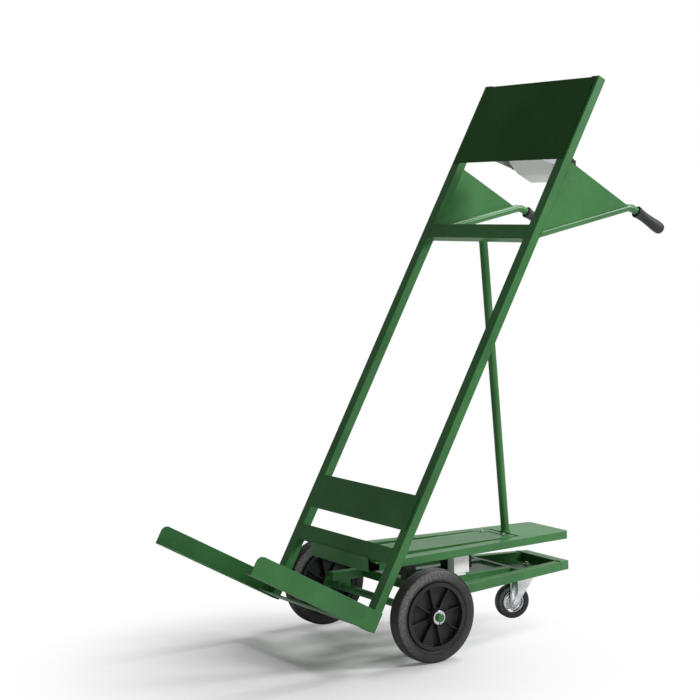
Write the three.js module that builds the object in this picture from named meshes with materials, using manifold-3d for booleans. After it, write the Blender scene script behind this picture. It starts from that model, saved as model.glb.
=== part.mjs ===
// Weighing hand truck: a leaning two-rail frame on load cells over a three-wheeled chassis.
// Millimetres. X runs from the toe arms back to the grips, Y across the truck, Z up from the ground.
import * as THREE from "three";
import { mergeVertices } from "three/addons/utils/BufferGeometryUtils.js";
import Module from "manifold-3d";

const kernel = await Module();
kernel.setup();

// Driving dimensions
const railLength = 1900;
const frameWidth = 612;
const wheelDiameter = 290;
const leanAngle = THREE.MathUtils.degToRad(28.8);

// Clearances: welded or bolted neighbours, round running fits, and play along an axle
const fit = 0.3;
const runningFit = 0.1;
const sheet = 4;
const tubeWall = 3;

// Section of the rails and of the cross beams between them
const railWidth = 40;
const railDepth = 30;
const beamHeight = 50;
const railOuter = frameWidth / 2;
const railInner = railOuter - railWidth;
const wheelRadius = wheelDiameter / 2;

// Where the foot of the rails stands, measured from the point under the big wheels' axle
const footX = -206;
const footZ = 116;

// Facets around small round pieces
const coarse = 12;
const round = 16;
const hexagon = 6;

const sides = [["left", -1], ["right", 1]];
const group = new THREE.Group();
group.name = "weighing_hand_truck";

// Solids
function solid(geometry) {
  const bare = new THREE.BufferGeometry();
  bare.setAttribute("position", geometry.getAttribute("position").clone());
  if (geometry.index) bare.setIndex(geometry.index.clone());
  const welded = mergeVertices(bare);
  return new kernel.Manifold(new kernel.Mesh({
    numProp: 3,
    vertProperties: new Float32Array(welded.getAttribute("position").array),
    triVerts: new Uint32Array(welded.index.array),
  }));
}

function surface(body) {
  const mesh = body.getMesh();
  const geometry = new THREE.BufferGeometry();
  geometry.setAttribute("position", new THREE.BufferAttribute(new Float32Array(mesh.vertProperties), 3));
  geometry.setIndex(new THREE.BufferAttribute(new Uint32Array(mesh.triVerts), 1));
  geometry.computeVertexNormals();
  return geometry;
}

function join(...geometries) {
  return surface(geometries.map(solid).reduce((whole, piece) => whole.add(piece)));
}

function cut(geometry, ...tools) {
  return surface(tools.map(solid).reduce((whole, tool) => whole.subtract(tool), solid(geometry)));
}

function block(low, high) {
  const size = high.map((value, axis) => value - low[axis]);
  const middle = high.map((value, axis) => (value + low[axis]) / 2);
  return new THREE.BoxGeometry(...size).translate(...middle);
}

function outline(points) {
  return new THREE.Shape(points.map(([x, y]) => new THREE.Vector2(x, y)));
}

// A slab whose outline is seen from above
function slabUp(shape, bottom, top) {
  const options = { depth: top - bottom, bevelEnabled: false, curveSegments: 6 };
  return new THREE.ExtrudeGeometry(shape, options).translate(0, 0, bottom);
}

// A slab whose outline is seen from the side of the truck
function slabAcross(shape, near, far) {
  const options = { depth: far - near, bevelEnabled: false, curveSegments: 6 };
  return new THREE.ExtrudeGeometry(shape, options).rotateX(Math.PI / 2).translate(0, far, 0);
}

// A turned solid about Y; the profile lists radius and height, up its outer side
function turned(profile, segments) {
  const points = profile.map(([radius, height]) => new THREE.Vector2(radius, height));
  return new THREE.LatheGeometry(points, segments);
}

function ring(inner, outer, low, high, segments) {
  return turned([[inner, low], [outer, low], [outer, high], [inner, high], [inner, low]], segments);
}

function rod(radius, low, high, segments) {
  return turned([[0, low], [radius, low], [radius, high], [0, high]], segments);
}

// Stand a solid turned about Y upright
function upright(geometry) {
  return geometry.rotateX(Math.PI / 2);
}

// Turn a solid made about Y so that it runs from one point toward another
function aimed(geometry, from, to) {
  const way = to.clone().sub(from).normalize();
  const spin = new THREE.Quaternion().setFromUnitVectors(new THREE.Vector3(0, 1, 0), way);
  return geometry.applyQuaternion(spin).translate(from.x, from.y, from.z);
}

// The two ends of a span that lies on one side of the truck, in rising order
function span(sign, inner, outer) {
  return [sign * inner, sign * outer].sort((a, b) => a - b);
}

// A closed skin through rings of equal count, ordered along the way their outline turns about
function loft(rings) {
  const count = rings[0].length;
  const places = rings.flat().flat();
  const faces = [];
  for (let k = 0; k < rings.length - 1; k += 1) {
    for (let i = 0; i < count; i += 1) {
      const a = k * count + i;
      const b = k * count + (i + 1) % count;
      faces.push(a, b, b + count, a, b + count, a + count);
    }
  }
  const last = (rings.length - 1) * count;
  for (let i = 1; i < count - 1; i += 1) {
    faces.push(0, i + 1, i);
    faces.push(last, last + i, last + i + 1);
  }
  const geometry = new THREE.BufferGeometry();
  geometry.setAttribute("position", new THREE.Float32BufferAttribute(places, 3));
  geometry.setIndex(faces);
  geometry.computeVertexNormals();
  return geometry;
}

// A rectangle with round corners at one height, as a ring for the loft
function roundedRing(halfWidth, low, high, radius, height) {
  const steps = 6;
  const corners = [[1, 1], [-1, 1], [-1, -1], [1, -1]];
  const points = [];
  corners.forEach(([sx, sy], quarter) => {
    const x = sx * (halfWidth - radius);
    const y = sy > 0 ? high - radius : low + radius;
    for (let i = 0; i <= steps; i += 1) {
      const angle = (quarter + i / steps) * Math.PI / 2;
      points.push([x + radius * Math.cos(angle), y + radius * Math.sin(angle), height]);
    }
  });
  return points;
}

// Finishes
const greenPaint = { color: 0x2f6b34, roughness: 0.45, metalness: 0.1 };
const darkPaint = { color: 0x1f3a1c, roughness: 0.5, metalness: 0.1 };
const blackPaint = { color: 0x17181a, roughness: 0.5, metalness: 0.2 };
const blackRubber = { color: 0x232425, roughness: 0.8, metalness: 0 };
const blackPlastic = { color: 0x1b1c1e, roughness: 0.5, metalness: 0 };
const zincPlate = { color: 0xc4c8cc, roughness: 0.3, metalness: 0.9 };
const stainless = { color: 0xb4b6b8, roughness: 0.35, metalness: 0.9 };
const palePlastic = { color: 0xe6e6e3, roughness: 0.45, metalness: 0 };
const navyPlastic = { color: 0x1d2233, roughness: 0.5, metalness: 0 };
const redLens = { color: 0x7a1420, roughness: 0.2, metalness: 0 };
const litGlass = { color: 0x2fe03a, roughness: 0.1, metalness: 0 };
const boardGreen = { color: 0x1d5a3a, roughness: 0.6, metalness: 0 };

function add(name, geometry, finish) {
  const mesh = new THREE.Mesh(geometry, new THREE.MeshStandardMaterial(finish));
  mesh.name = name;
  group.add(mesh);
}

// The leaning frame is laid out along its own rails: X back from their rear faces, Z up along them
const lean = new THREE.Matrix4().makeRotationY(leanAngle).setPosition(footX, 0, footZ);

function addLeaning(name, geometry, finish) {
  add(name, geometry.applyMatrix4(lean), finish);
}

// Rails: rectangular tube, capped at the top and open at the foot
for (const [side, sign] of sides) {
  const [low, high] = span(sign, railInner, railOuter);
  const tube = block([-railDepth, low, 0], [0, high, railLength]);
  const bore = block(
    [-railDepth + tubeWall, low + tubeWall, -tubeWall],
    [-tubeWall, high - tubeWall, railLength - tubeWall],
  );
  addLeaning(`${side}_rail`, cut(tube, bore), greenPaint);
}

// Toe arms: angle iron on the outside of the rails, with a flange under the load
const armReach = 478;
const armHeight = 65;
const armCorner = 22;
const armFlange = 35;
const armInner = railOuter + fit;
const armOuter = armInner + sheet;
for (const [side, sign] of sides) {
  const profile = new THREE.Shape();
  profile.moveTo(0, 0);
  profile.lineTo(0, armHeight);
  profile.lineTo(-armReach + armCorner, armHeight);
  profile.absarc(-armReach + armCorner, armHeight - armCorner, armCorner, Math.PI / 2, Math.PI, false);
  profile.lineTo(-armReach, 0);
  const web = slabAcross(profile, ...span(sign, armInner, armOuter));
  const [low, high] = span(sign, armOuter - armFlange, armOuter);
  const flange = block([-armReach, low, 0], [-railDepth - fit, high, sheet]);
  addLeaning(`${side}_toe_arm`, join(web, flange), greenPaint);
}

// Toe cross plate: lies on both flanges and reaches back between the rails
const toePlateDepth = 90;
const toePlateBottom = sheet + fit;
const toePlateShape = outline([
  [-toePlateDepth, -railOuter],
  [-railDepth - fit, -railOuter],
  [-railDepth - fit, -railInner + fit],
  [0, -railInner + fit],
  [0, railInner - fit],
  [-railDepth - fit, railInner - fit],
  [-railDepth - fit, railOuter],
  [-toePlateDepth, railOuter],
]);
addLeaning("toe_cross_plate", slabUp(toePlateShape, toePlateBottom, toePlateBottom + sheet), greenPaint);

// Cross beams between the rails: one over the deck's front, one that takes the strut
const lowerBeamFoot = 210;
const panelHeight = 302;
const panelFoot = railLength - panelHeight;
const handleDrop = 257;
const handleLevel = panelFoot - handleDrop;
const upperBeamFoot = handleLevel - beamHeight / 2;
for (const [name, foot] of [["lower_cross_beam", lowerBeamFoot], ["upper_cross_beam", upperBeamFoot]]) {
  const end = railInner - fit;
  const tube = block([-railDepth, -end, foot], [0, end, foot + beamHeight]);
  const bore = block(
    [-railDepth + tubeWall, -railInner, foot + tubeWall],
    [-tubeWall, railInner, foot + beamHeight - tubeWall],
  );
  addLeaning(name, cut(tube, bore), greenPaint);
}

// Back cross plate: flat bar on the front of the rails, behind the load
const backPlateFoot = 320;
const backPlateHeight = 115;
const backPlateInset = 16;
const backPlateHalf = railOuter - backPlateInset;
const frontFace = -railDepth - fit;
addLeaning("back_cross_plate", block(
  [frontFace - sheet, -backPlateHalf, backPlateFoot],
  [frontFace, backPlateHalf, backPlateFoot + backPlateHeight],
), greenPaint);

// Top panel: sheet lapped onto the front of the rails, just short of their top ends and outer edges
const panelSheet = 3;
const panelDrop = 6;
const panelLap = 27;
const panelHalf = railInner + panelLap;
addLeaning("top_panel", block(
  [frontFace - panelSheet, -panelHalf, panelFoot],
  [frontFace, panelHalf, railLength - panelDrop],
), darkPaint);

// Handles: a bent tube along the long edge of a gusset, with a rubber grip on its end
const handleRadius = 12.5;
const handleWall = 2;
const handleInset = 13;
const handleY = railOuter - handleInset;
const handleFootRise = 7;
const handleRun = 290.5;
const handleRise = 248;
const tipRun = 146;
const tipDrop = 4;
const handleFoot = new THREE.Vector2(0, handleLevel + handleFootRise);
const handleBend = handleFoot.clone().add(new THREE.Vector2(handleRun, handleRise));
const handleTip = handleBend.clone().add(new THREE.Vector2(tipRun, -tipDrop));
const bendReach = 18;
const gripSetback = 30;
const gripLength = 126;
const gripBore = handleRadius + fit;
const gripRadius = 17.5;
const gripBulge = 19.5;
const gripCollar = 20;
const gripNeck = 16.5;
const gripRise = new THREE.Vector2().subVectors(handleBend, handleFoot).normalize();
const gripWay = new THREE.Vector2().subVectors(handleTip, handleBend).normalize();
const gripStart = handleBend.clone().addScaledVector(gripWay, gripSetback);
const gripBoreDepth = handleTip.distanceTo(gripStart) + fit;

function spot(place, y) {
  return new THREE.Vector3(place.x, y, place.y);
}

for (const [side, sign] of sides) {
  const y = sign * handleY;
  const bendIn = handleBend.clone().addScaledVector(gripRise, -bendReach);
  const bendOut = handleBend.clone().addScaledVector(gripWay, bendReach);
  const start = handleFoot.clone().addScaledVector(gripRise, -bendReach);
  const path = new THREE.CurvePath();
  path.add(new THREE.LineCurve3(spot(start, y), spot(bendIn, y)));
  path.add(new THREE.QuadraticBezierCurve3(spot(bendIn, y), spot(handleBend, y), spot(bendOut, y)));
  path.add(new THREE.LineCurve3(spot(bendOut, y), spot(handleTip, y)));
  const stops = 6;
  const places = [spot(start, y)];
  for (let i = 0; i <= stops; i += 1) places.push(path.curves[1].getPoint(i / stops));
  places.push(spot(handleTip, y));
  const rings = (radius, reach) => places.map((place, index) => {
    const ahead = places[Math.min(index + 1, places.length - 1)];
    const behind = places[Math.max(index - 1, 0)];
    const way = ahead.clone().sub(behind).normalize();
    const up = new THREE.Vector3(-way.z, 0, way.x);
    const push = index === 0 ? -reach : index === places.length - 1 ? reach : 0;
    const around = coarse;
    return Array.from({ length: around }, (_, i) => {
      const angle = i / around * Math.PI * 2;
      return place.clone()
        .addScaledVector(way, push)
        .addScaledVector(up, radius * Math.cos(angle))
        .add(new THREE.Vector3(0, -radius * Math.sin(angle), 0))
        .toArray();
    });
  });
  const railSide = block([-railLength, y - railWidth, 0], [fit, y + railWidth, railLength]);
  const tube = cut(loft(rings(handleRadius, 0)), loft(rings(handleRadius - handleWall, bendReach)), railSide);
  addLeaning(`${side}_handle_tube`, tube, greenPaint);

  const grip = turned([
    [0, gripLength],
    [gripBulge / 2, gripLength],
    [gripBulge * 0.85, gripLength - gripBulge / 4],
    [gripBulge, gripLength - gripBulge * 0.6],
    [gripBulge, gripLength * 0.72],
    [gripRadius, gripLength * 0.55],
    [gripNeck, gripLength * 0.3],
    [gripRadius, gripLength * 0.12],
    [gripCollar, gripLength * 0.06],
    [gripCollar, 0],
    [gripBore, 0],
    [gripBore, gripBoreDepth],
    [0, gripBoreDepth],
  ].reverse(), round);
  const from = spot(gripStart, y);
  addLeaning(`${side}_grip`, aimed(grip, from, from.clone().add(spot(gripWay, 0))), blackRubber);
}

// Handle gussets: triangular plates flush with the rails' outer faces, resting on the handle tube
const gussetOver = 7.6;
const gussetTop = handleBend.y + gussetOver;
const gussetShort = 26.5;
const gussetTipX = handleRun - gussetShort;
const gussetTipDrop = 13;
const gussetEdge = 9;
for (const [side, sign] of sides) {
  const offset = new THREE.Vector2(-gripRise.y, gripRise.x).multiplyScalar(gussetEdge);
  const along = (x) => handleFoot.y + offset.y + (x - offset.x) * gripRise.y / gripRise.x;
  const shape = outline([
    [fit, along(fit)],
    [gussetTipX, along(gussetTipX)],
    [gussetTipX, gussetTop - gussetTipDrop + fit],
    [fit, gussetTop],
  ]);
  const plate = slabAcross(shape, ...span(sign, railOuter - sheet, railOuter));
  addLeaning(`${side}_handle_gusset`, plate, greenPaint);
}

// Deck: a level, tapering platform that carries the leaning frame on the load cells
const deckTop = 297;
const deckHeight = 26;
const deckBottom = deckTop - deckHeight;
const deckRear = 702;
const deckRearHalf = 107;
const deckTaper = 0.08;
const deckSeam = 505;
const deckBeamFront = -95;
const deckSeatFront = -137;
const beamWidth = 40;
const deckHalf = (x) => deckRearHalf + deckTaper * (deckRear - x);

// Height of the sloping underside of the lower cross beam over a place on the deck
function underBeam(x) {
  return footZ + (lowerBeamFoot - fit - (x - footX) * Math.sin(leanAngle)) / Math.cos(leanAngle);
}

const seatHeel = footX + lowerBeamFoot * Math.sin(leanAngle);
const seatShape = [
  [deckBeamFront, deckBottom],
  [deckBeamFront, deckTop - fit],
  [seatHeel, deckTop - fit],
  [deckSeatFront, underBeam(deckSeatFront)],
  [deckSeatFront, deckBottom],
];
const seatBore = [
  [deckBeamFront - tubeWall, deckBottom + tubeWall],
  [deckBeamFront - tubeWall, deckTop - tubeWall * 2],
  [seatHeel, deckTop - tubeWall * 2],
  [deckSeatFront + tubeWall, underBeam(deckSeatFront) - tubeWall * 2],
  [deckSeatFront + tubeWall, deckBottom + tubeWall],
];
const seatHalf = deckHalf(deckBeamFront);
add("deck_front_seat", cut(
  slabAcross(outline(seatShape), -seatHalf, seatHalf),
  slabAcross(outline(seatBore), -frameWidth, frameWidth),
), greenPaint);

// A hollow beam, open at its rear end, between two tapering edges on one side of the truck
function taperBeam(sign, edges, width, bottom, top) {
  const ring = (shift) => {
    const moved = edges.map(([x, half]) => [x + shift, half]);
    const near = moved.map(([x, half]) => [x, sign * (half - shift)]);
    const far = moved.map(([x, half]) => [x, sign * (half - width + shift)]).reverse();
    return outline([...near, ...far]);
  };
  const tube = slabUp(ring(0), bottom, top);
  const bore = slabUp(ring(tubeWall), bottom + tubeWall, top - tubeWall);
  return cut(tube, bore);
}

const deckBeamEdges = [deckBeamFront + fit, deckSeam - fit].map((x) => [x, deckHalf(x)]);
for (const [side, sign] of sides) {
  add(`deck_${side}_beam`, taperBeam(sign, deckBeamEdges, beamWidth, deckBottom, deckTop), greenPaint);
}

// Deck rear plate: a folded pan, flush on top, with cut rear corners, set back between the side beams
const deckCorner = 9;
const seamGap = 9;
const seamHalf = deckHalf(deckSeam) - beamWidth;
function deckPan(inset, bottom, top) {
  const front = deckSeam + inset;
  const rear = deckRear - inset;
  const shape = outline([
    [front, -deckHalf(front) + inset],
    [rear - deckCorner, -deckHalf(rear - deckCorner) + inset],
    [rear, -deckHalf(rear) + deckCorner],
    [rear, deckHalf(rear) - deckCorner],
    [rear - deckCorner, deckHalf(rear - deckCorner) - inset],
    [front, deckHalf(front) - inset],
  ]);
  const setback = block(
    [deckSeam - seamGap, -seamHalf - inset, bottom - seamGap],
    [deckSeam + seamGap + inset, seamHalf + inset, top + seamGap],
  );
  return cut(slabUp(shape, bottom, top), setback);
}
const panBore = deckPan(sheet, deckBottom - sheet, deckTop - sheet);
add("deck_rear_plate", cut(deckPan(0, deckBottom, deckTop), panBore), greenPaint);

// Deck cross beam: ties the side beams under the rear end of the tray
const trayTop = deckTop;
const crossBeamDepth = 40;
const crossBeamFront = deckSeam - crossBeamDepth;
const crossBeamTop = trayTop - sheet - fit;
const crossHalf = (x) => deckHalf(x) - beamWidth - fit;
add("deck_cross_beam", slabUp(outline([
  [crossBeamFront, -crossHalf(crossBeamFront)],
  [deckSeam - fit, -crossHalf(deckSeam - fit)],
  [deckSeam - fit, crossHalf(deckSeam - fit)],
  [crossBeamFront, crossHalf(crossBeamFront)],
]), deckBottom, crossBeamTop), greenPaint);

// Deck tray: plate level with the side beams, its middle pressed down inside a border, its sides folded down
const trayHalf = 74;
const trayBorder = 22;
const trayStep = 1.5;
const trayFront = deckBeamFront + fit;
const trayFlangeDepth = 15;
const trayBottom = trayTop - sheet;
const traySheet = block([trayFront, -trayHalf, trayBottom], [deckSeam - fit, trayHalf, trayTop]);
const trayPan = block(
  [trayFront + trayBorder, -trayHalf + trayBorder, trayTop - trayStep],
  [deckSeam - trayBorder, trayHalf - trayBorder, trayTop + trayStep],
);
const trayFlanges = sides.map(([, sign]) => {
  const [low, high] = span(sign, trayHalf - sheet, trayHalf);
  return block(
    [trayFront, low, trayBottom - trayFlangeDepth],
    [crossBeamFront - fit, high, trayTop - sheet / 2],
  );
});
add("deck_tray", cut(join(traySheet, ...trayFlanges), trayPan), greenPaint);

// Rear strut: round tube from the deck up to the upper cross beam
const strutRadius = 14;
const strutSetback = 13;
const strutFootX = deckSeam + strutSetback;
const strutFlange = 17;
const strutFlangeHeight = 5;
const strutFoot = new THREE.Vector3(strutFootX, 0, deckTop);
const strutHead = new THREE.Vector3(0, 0, upperBeamFoot + beamHeight / 2).applyMatrix4(lean);
const strutLength = strutHead.distanceTo(strutFoot);
const strutBase = deckTop + fit;
const strutOver = strutFlange * 2;
const strutTube = aimed(rod(strutRadius, -strutOver, strutLength + strutOver, round), strutFoot, strutHead);
const strutBore = aimed(
  rod(strutRadius - tubeWall, -strutOver * 2, strutLength + strutOver * 2, round), strutFoot, strutHead);
const strutCollar = upright(rod(strutFlange, 0, strutFlangeHeight, round))
  .translate(strutFootX, 0, strutBase);
const belowDeck = block([0, -railInner, 0], [railLength, railInner, strutBase]);
const aheadOfRails = block([-railLength, -railInner, 0], [fit, railInner, railLength]).applyMatrix4(lean);
add("rear_strut", cut(join(strutTube, strutCollar), strutBore, belowDeck, aheadOfRails), greenPaint);

// Chassis: the lower frame, which rolls on the wheels and carries the load cells
const chassisTop = 199;
const chassisBottom = chassisTop - railDepth;
const chassisRear = 695;
const chassisRearHalf = 114;
const chassisTaper = 0.225;
const chassisBeamWidth = 30;
const chassisBendX = 230;
const chassisFront = -45;
const chassisHalf = (x) => chassisRearHalf + chassisTaper * (chassisRear - Math.max(x, chassisBendX));
const chassisInner = (x) => chassisHalf(x) - chassisBeamWidth - fit;
const rearBeamFront = chassisRear - beamWidth;

// Axle: one solid bar across the truck, with a collar inside each wheel
const axleRadius = 12.5;
const wheelStandOut = 12;
const wheelMiddle = railOuter + wheelStandOut;
const axleReach = 48;
const axleEnd = wheelMiddle + axleReach;
const tyreHalf = 25;
const collarRadius = 20;
const collarWidth = 6;
const wheelInner = wheelMiddle - tyreHalf;
const axleSegments = 32;
add("axle", turned([
  [0, -axleEnd],
  [axleRadius, -axleEnd],
  [axleRadius, -wheelInner + fit],
  [collarRadius, -wheelInner + fit],
  [collarRadius, -wheelInner + fit + collarWidth],
  [axleRadius, -wheelInner + fit + collarWidth],
  [axleRadius, wheelInner - fit - collarWidth],
  [collarRadius, wheelInner - fit - collarWidth],
  [collarRadius, wheelInner - fit],
  [axleRadius, wheelInner - fit],
  [axleRadius, axleEnd],
  [0, axleEnd],
], axleSegments).translate(0, 0, wheelRadius), greenPaint);

// Chassis side beams, each with a saddle welded over the axle
const saddleHalf = 24;
const chassisEdges = [chassisFront, chassisBendX, rearBeamFront - fit].map((x) => [x, chassisHalf(x)]);
for (const [side, sign] of sides) {
  const beam = taperBeam(sign, chassisEdges, chassisBeamWidth, chassisBottom, chassisTop);
  const [low, high] = span(sign, chassisHalf(0) - chassisBeamWidth, chassisHalf(0));
  const saddle = block([-saddleHalf, low, wheelRadius], [saddleHalf, high, chassisBottom + tubeWall / 2]);
  const axleWay = rod(axleRadius + fit, -frameWidth, frameWidth, axleSegments).translate(0, 0, wheelRadius);
  add(`chassis_${side}_beam`, cut(join(beam, saddle), axleWay), greenPaint);
}

// Chassis cross beams: front, middle and rear
const frontBeamX = 76;
const frontBeamDepth = 40;
const middleBeamInset = 230;
const middleBeamX = chassisRear - middleBeamInset;
const middleBeamDepth = 17;
function crossBeam(front, rear, halfAt) {
  return slabUp(outline([
    [front, -halfAt(front)],
    [rear, -halfAt(rear)],
    [rear, halfAt(rear)],
    [front, halfAt(front)],
  ]), chassisBottom, chassisTop);
}
const frontBore = block(
  [frontBeamX + tubeWall, -frameWidth, chassisBottom + tubeWall],
  [frontBeamX + frontBeamDepth - tubeWall, frameWidth, chassisTop - tubeWall],
);
const rearBore = block(
  [rearBeamFront + tubeWall, -chassisRearHalf + tubeWall, chassisBottom - tubeWall],
  [chassisRear - tubeWall, chassisRearHalf - tubeWall, chassisTop - tubeWall],
);
const frontBeam = crossBeam(frontBeamX, frontBeamX + frontBeamDepth, chassisInner);
const middleBeam = crossBeam(middleBeamX, middleBeamX + middleBeamDepth, chassisInner);
const rearBeam = crossBeam(rearBeamFront, chassisRear, chassisHalf);
add("chassis_front_beam", cut(frontBeam, frontBore), greenPaint);
add("chassis_middle_beam", middleBeam, greenPaint);
add("chassis_rear_beam", cut(rearBeam, rearBore), greenPaint);

// Cell carrier: two bars joined by a plate with a slot, between the front and middle beams
const carrierInner = 65;
const carrierOuter = 99;
const carrierBarHeight = 25;
const carrierPlateDrop = 5;
const carrierPlateTop = chassisTop - carrierPlateDrop;
const carrierFront = frontBeamX + frontBeamDepth + fit;
const carrierRear = middleBeamX - fit;
const slotLength = 22;
const slotHalf = 57;
const carrierPlate = block(
  [carrierFront, -carrierInner - sheet, carrierPlateTop - sheet],
  [carrierRear, carrierInner + sheet, carrierPlateTop],
);
const carrierBars = sides.map(([, sign]) => {
  const [low, high] = span(sign, carrierInner, carrierOuter);
  return block([carrierFront, low, chassisTop - carrierBarHeight], [carrierRear, high, chassisTop]);
});
const carrierBores = sides.map(([, sign]) => {
  const [low, high] = span(sign, carrierInner + tubeWall, carrierOuter - tubeWall);
  return block(
    [carrierFront - tubeWall, low, chassisTop - carrierBarHeight + tubeWall],
    [carrierRear + tubeWall, high, chassisTop - tubeWall],
  );
});
const slotCut = block(
  [carrierRear - slotLength - sheet, -slotHalf, carrierPlateTop - sheet * 2],
  [carrierRear - sheet, slotHalf, carrierPlateTop + sheet],
);
add("cell_carrier", cut(join(carrierPlate, ...carrierBars), ...carrierBores, slotCut), greenPaint);

// Caster floor: plate between the rear ends of the side beams, with one bolt hole
const casterPlateDrop = 26;
const casterPlateTop = chassisTop - casterPlateDrop;
const casterPlateBottom = casterPlateTop - sheet;
const floorFront = middleBeamX + middleBeamDepth + fit;
const floorRear = rearBeamFront - fit;
const swivelInset = 90;
const swivelX = chassisRear - swivelInset;
const boltRadius = 6;
const mountBolt = 5;
const casterSegments = 24;
add("caster_floor", cut(
  slabUp(outline([
    [floorFront, -chassisInner(floorFront)],
    [floorRear, -chassisInner(floorRear)],
    [floorRear, chassisInner(floorRear)],
    [floorFront, chassisInner(floorFront)],
  ]), casterPlateBottom, casterPlateTop),
  upright(rod(mountBolt + fit, 0, casterPlateTop + sheet, casterSegments)).translate(swivelX, 0, 0),
), greenPaint);

// Load cells: black bars lying across the truck, clamped to the carrier at one end and the tray at the other
const cellHalf = 62;
const cellWidth = 38;
const cellHeight = 40;
const cellBottom = 212;
const frontCellPad = 32;
const rearCellPad = 38;
const cellHoleRadius = 11;
const cellHoleReach = 14;
const cellTop = cellBottom + cellHeight;
const frontCellX = 95;
const rearCellX = 314;
const cellPlaces = [
  ["front_load_cell", -1, frontCellPad, frontCellX, frontBeamX, chassisTop + fit],
  ["rear_load_cell", 1, rearCellPad, rearCellX, rearCellX - cellWidth / 2, carrierPlateTop + fit],
];
for (const [name, footSign, pad, x, footFront, footBottom] of cellPlaces) {
  const low = x - cellWidth / 2;
  const high = x + cellWidth / 2;
  const bar = block([low, -cellHalf, cellBottom], [high, cellHalf, cellTop]);
  const [footLow, footHigh] = span(footSign, cellHalf - pad, cellHalf);
  const [headLow, headHigh] = span(-footSign, cellHalf - pad, cellHalf);
  const padFoot = block([footFront, footLow, footBottom], [high, footHigh, cellBottom]);
  const padHead = block([low, headLow, cellTop], [high, headHigh, trayBottom - fit]);
  const level = cellBottom + cellHeight / 2;
  const eyes = [-cellHoleReach, cellHoleReach].map((y) => (
    rod(cellHoleRadius, -cellWidth, cellWidth, coarse).rotateZ(Math.PI / 2).translate(x, y, level)
  ));
  const link = block(
    [low - fit, -cellHoleReach, level - cellHoleRadius / 2],
    [high + fit, cellHoleReach, level + cellHoleRadius / 2],
  );
  add(name, cut(join(bar, padFoot, padHead), ...eyes, link), blackPaint);
}

// Junction box: pale plastic box on the near bar of the carrier, with its lid at the rear
const boxFront = 236;
const boxRear = 295;
const boxNear = -101;
const boxFar = -64;
const boxTop = 260;
const boxFootHeight = 8;
const boxFootFront = boxFront + boxFootHeight;
const boxBottom = chassisTop + fit + boxFootHeight;
const boxWall = 2.5;
const lidDepth = 12;
const lidFront = boxRear - lidDepth;
const boxFeet = sides.map(([, sign]) => {
  const middle = (boxNear + boxFar) / 2;
  const [low, high] = span(sign, boxFootHeight, boxFootHeight * 2);
  return block(
    [boxFootFront, middle + low, chassisTop + fit],
    [lidFront, middle + high, boxBottom + boxWall / 2],
  );
});
add("junction_box_base", cut(
  join(block([boxFront, boxNear, boxBottom], [lidFront, boxFar, boxTop]), ...boxFeet),
  block(
    [boxFront + boxWall, boxNear + boxWall, boxBottom + boxWall],
    [boxRear, boxFar - boxWall, boxTop - boxWall],
  ),
), palePlastic);
add("junction_box_lid", cut(
  block([lidFront + fit, boxNear, boxBottom], [boxRear, boxFar, boxTop]),
  block(
    [lidFront, boxNear + boxWall, boxBottom + boxWall],
    [boxRear - boxWall, boxFar - boxWall, boxTop - boxWall],
  ),
), palePlastic);

// Big wheels: solid tyres on ribbed plastic hubs, each kept on by a slit ring
const rimRadius = 104.5;
const rimInner = 93;
const rimHalf = 26;
const webHalf = 4;
const bossRadius = 22;
const bossOuter = 35;
const bossRoot = 27;
const ribHalf = 1.6;
const ribReach = 20;
const ribCount = 8;
const ribTurn = THREE.MathUtils.degToRad(12.5);
const ringWidth = 3;
const ringRadius = 21.5;
const ringSlit = 4;
const tyreBore = rimRadius + fit;
const tyreShape = [
  [0, 0.88],
  [0.18, 1],
  [0.55, 1],
  [0.88, 0.9],
  [1, 0.62],
  [1, -0.62],
  [0.88, -0.9],
  [0.55, -1],
  [0.18, -1],
  [0, -0.88],
  [0, 0.88],
];
const tyreShares = tyreShape.reverse();

function tyre(bore, radius, half, segments) {
  const profile = tyreShares.map(([up, out]) => [bore + up * (radius - bore), out * half]);
  return turned(profile, segments);
}

for (const [side, sign] of sides) {
  const centre = [0, sign * wheelMiddle, wheelRadius];
  add(`${side}_tyre`, tyre(tyreBore, wheelRadius, tyreHalf, axleSegments).translate(...centre), blackRubber);
  const bore = axleRadius + runningFit;
  const [bossLow, bossHigh] = span(sign, -tyreHalf, bossOuter);
  let hub = turned([
    [bore, bossLow],
    [bossRadius, bossLow],
    [bossRoot, -webHalf],
    [rimInner, -webHalf],
    [rimInner, -rimHalf],
    [rimRadius, -rimHalf],
    [rimRadius, rimHalf],
    [rimInner, rimHalf],
    [rimInner, webHalf],
    [bossRoot, webHalf],
    [bossRadius, bossHigh],
    [bore, bossHigh],
    [bore, bossLow],
  ], axleSegments);
  const ribs = Array.from({ length: ribCount }, (_, i) => (
    block([bossRadius - ribHalf, -ribReach, -ribHalf], [rimInner + ribHalf, ribReach, ribHalf])
      .rotateY(i / ribCount * Math.PI * 2 - ribTurn)
  ));
  hub = join(hub, ...ribs);
  add(`${side}_hub`, hub.translate(...centre), blackPlastic);
  const ringStart = wheelMiddle + bossOuter + fit;
  const [low, high] = span(sign, ringStart, ringStart + ringWidth);
  const keeper = ring(axleRadius + runningFit, ringRadius, low, high, axleSegments);
  const slit = block([-ringSlit / 2, low - fit, -ringRadius * 2], [ringSlit / 2, high + fit, 0]);
  add(`${side}_axle_ring`, cut(keeper, slit).translate(0, 0, wheelRadius), zincPlate);
}

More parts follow.
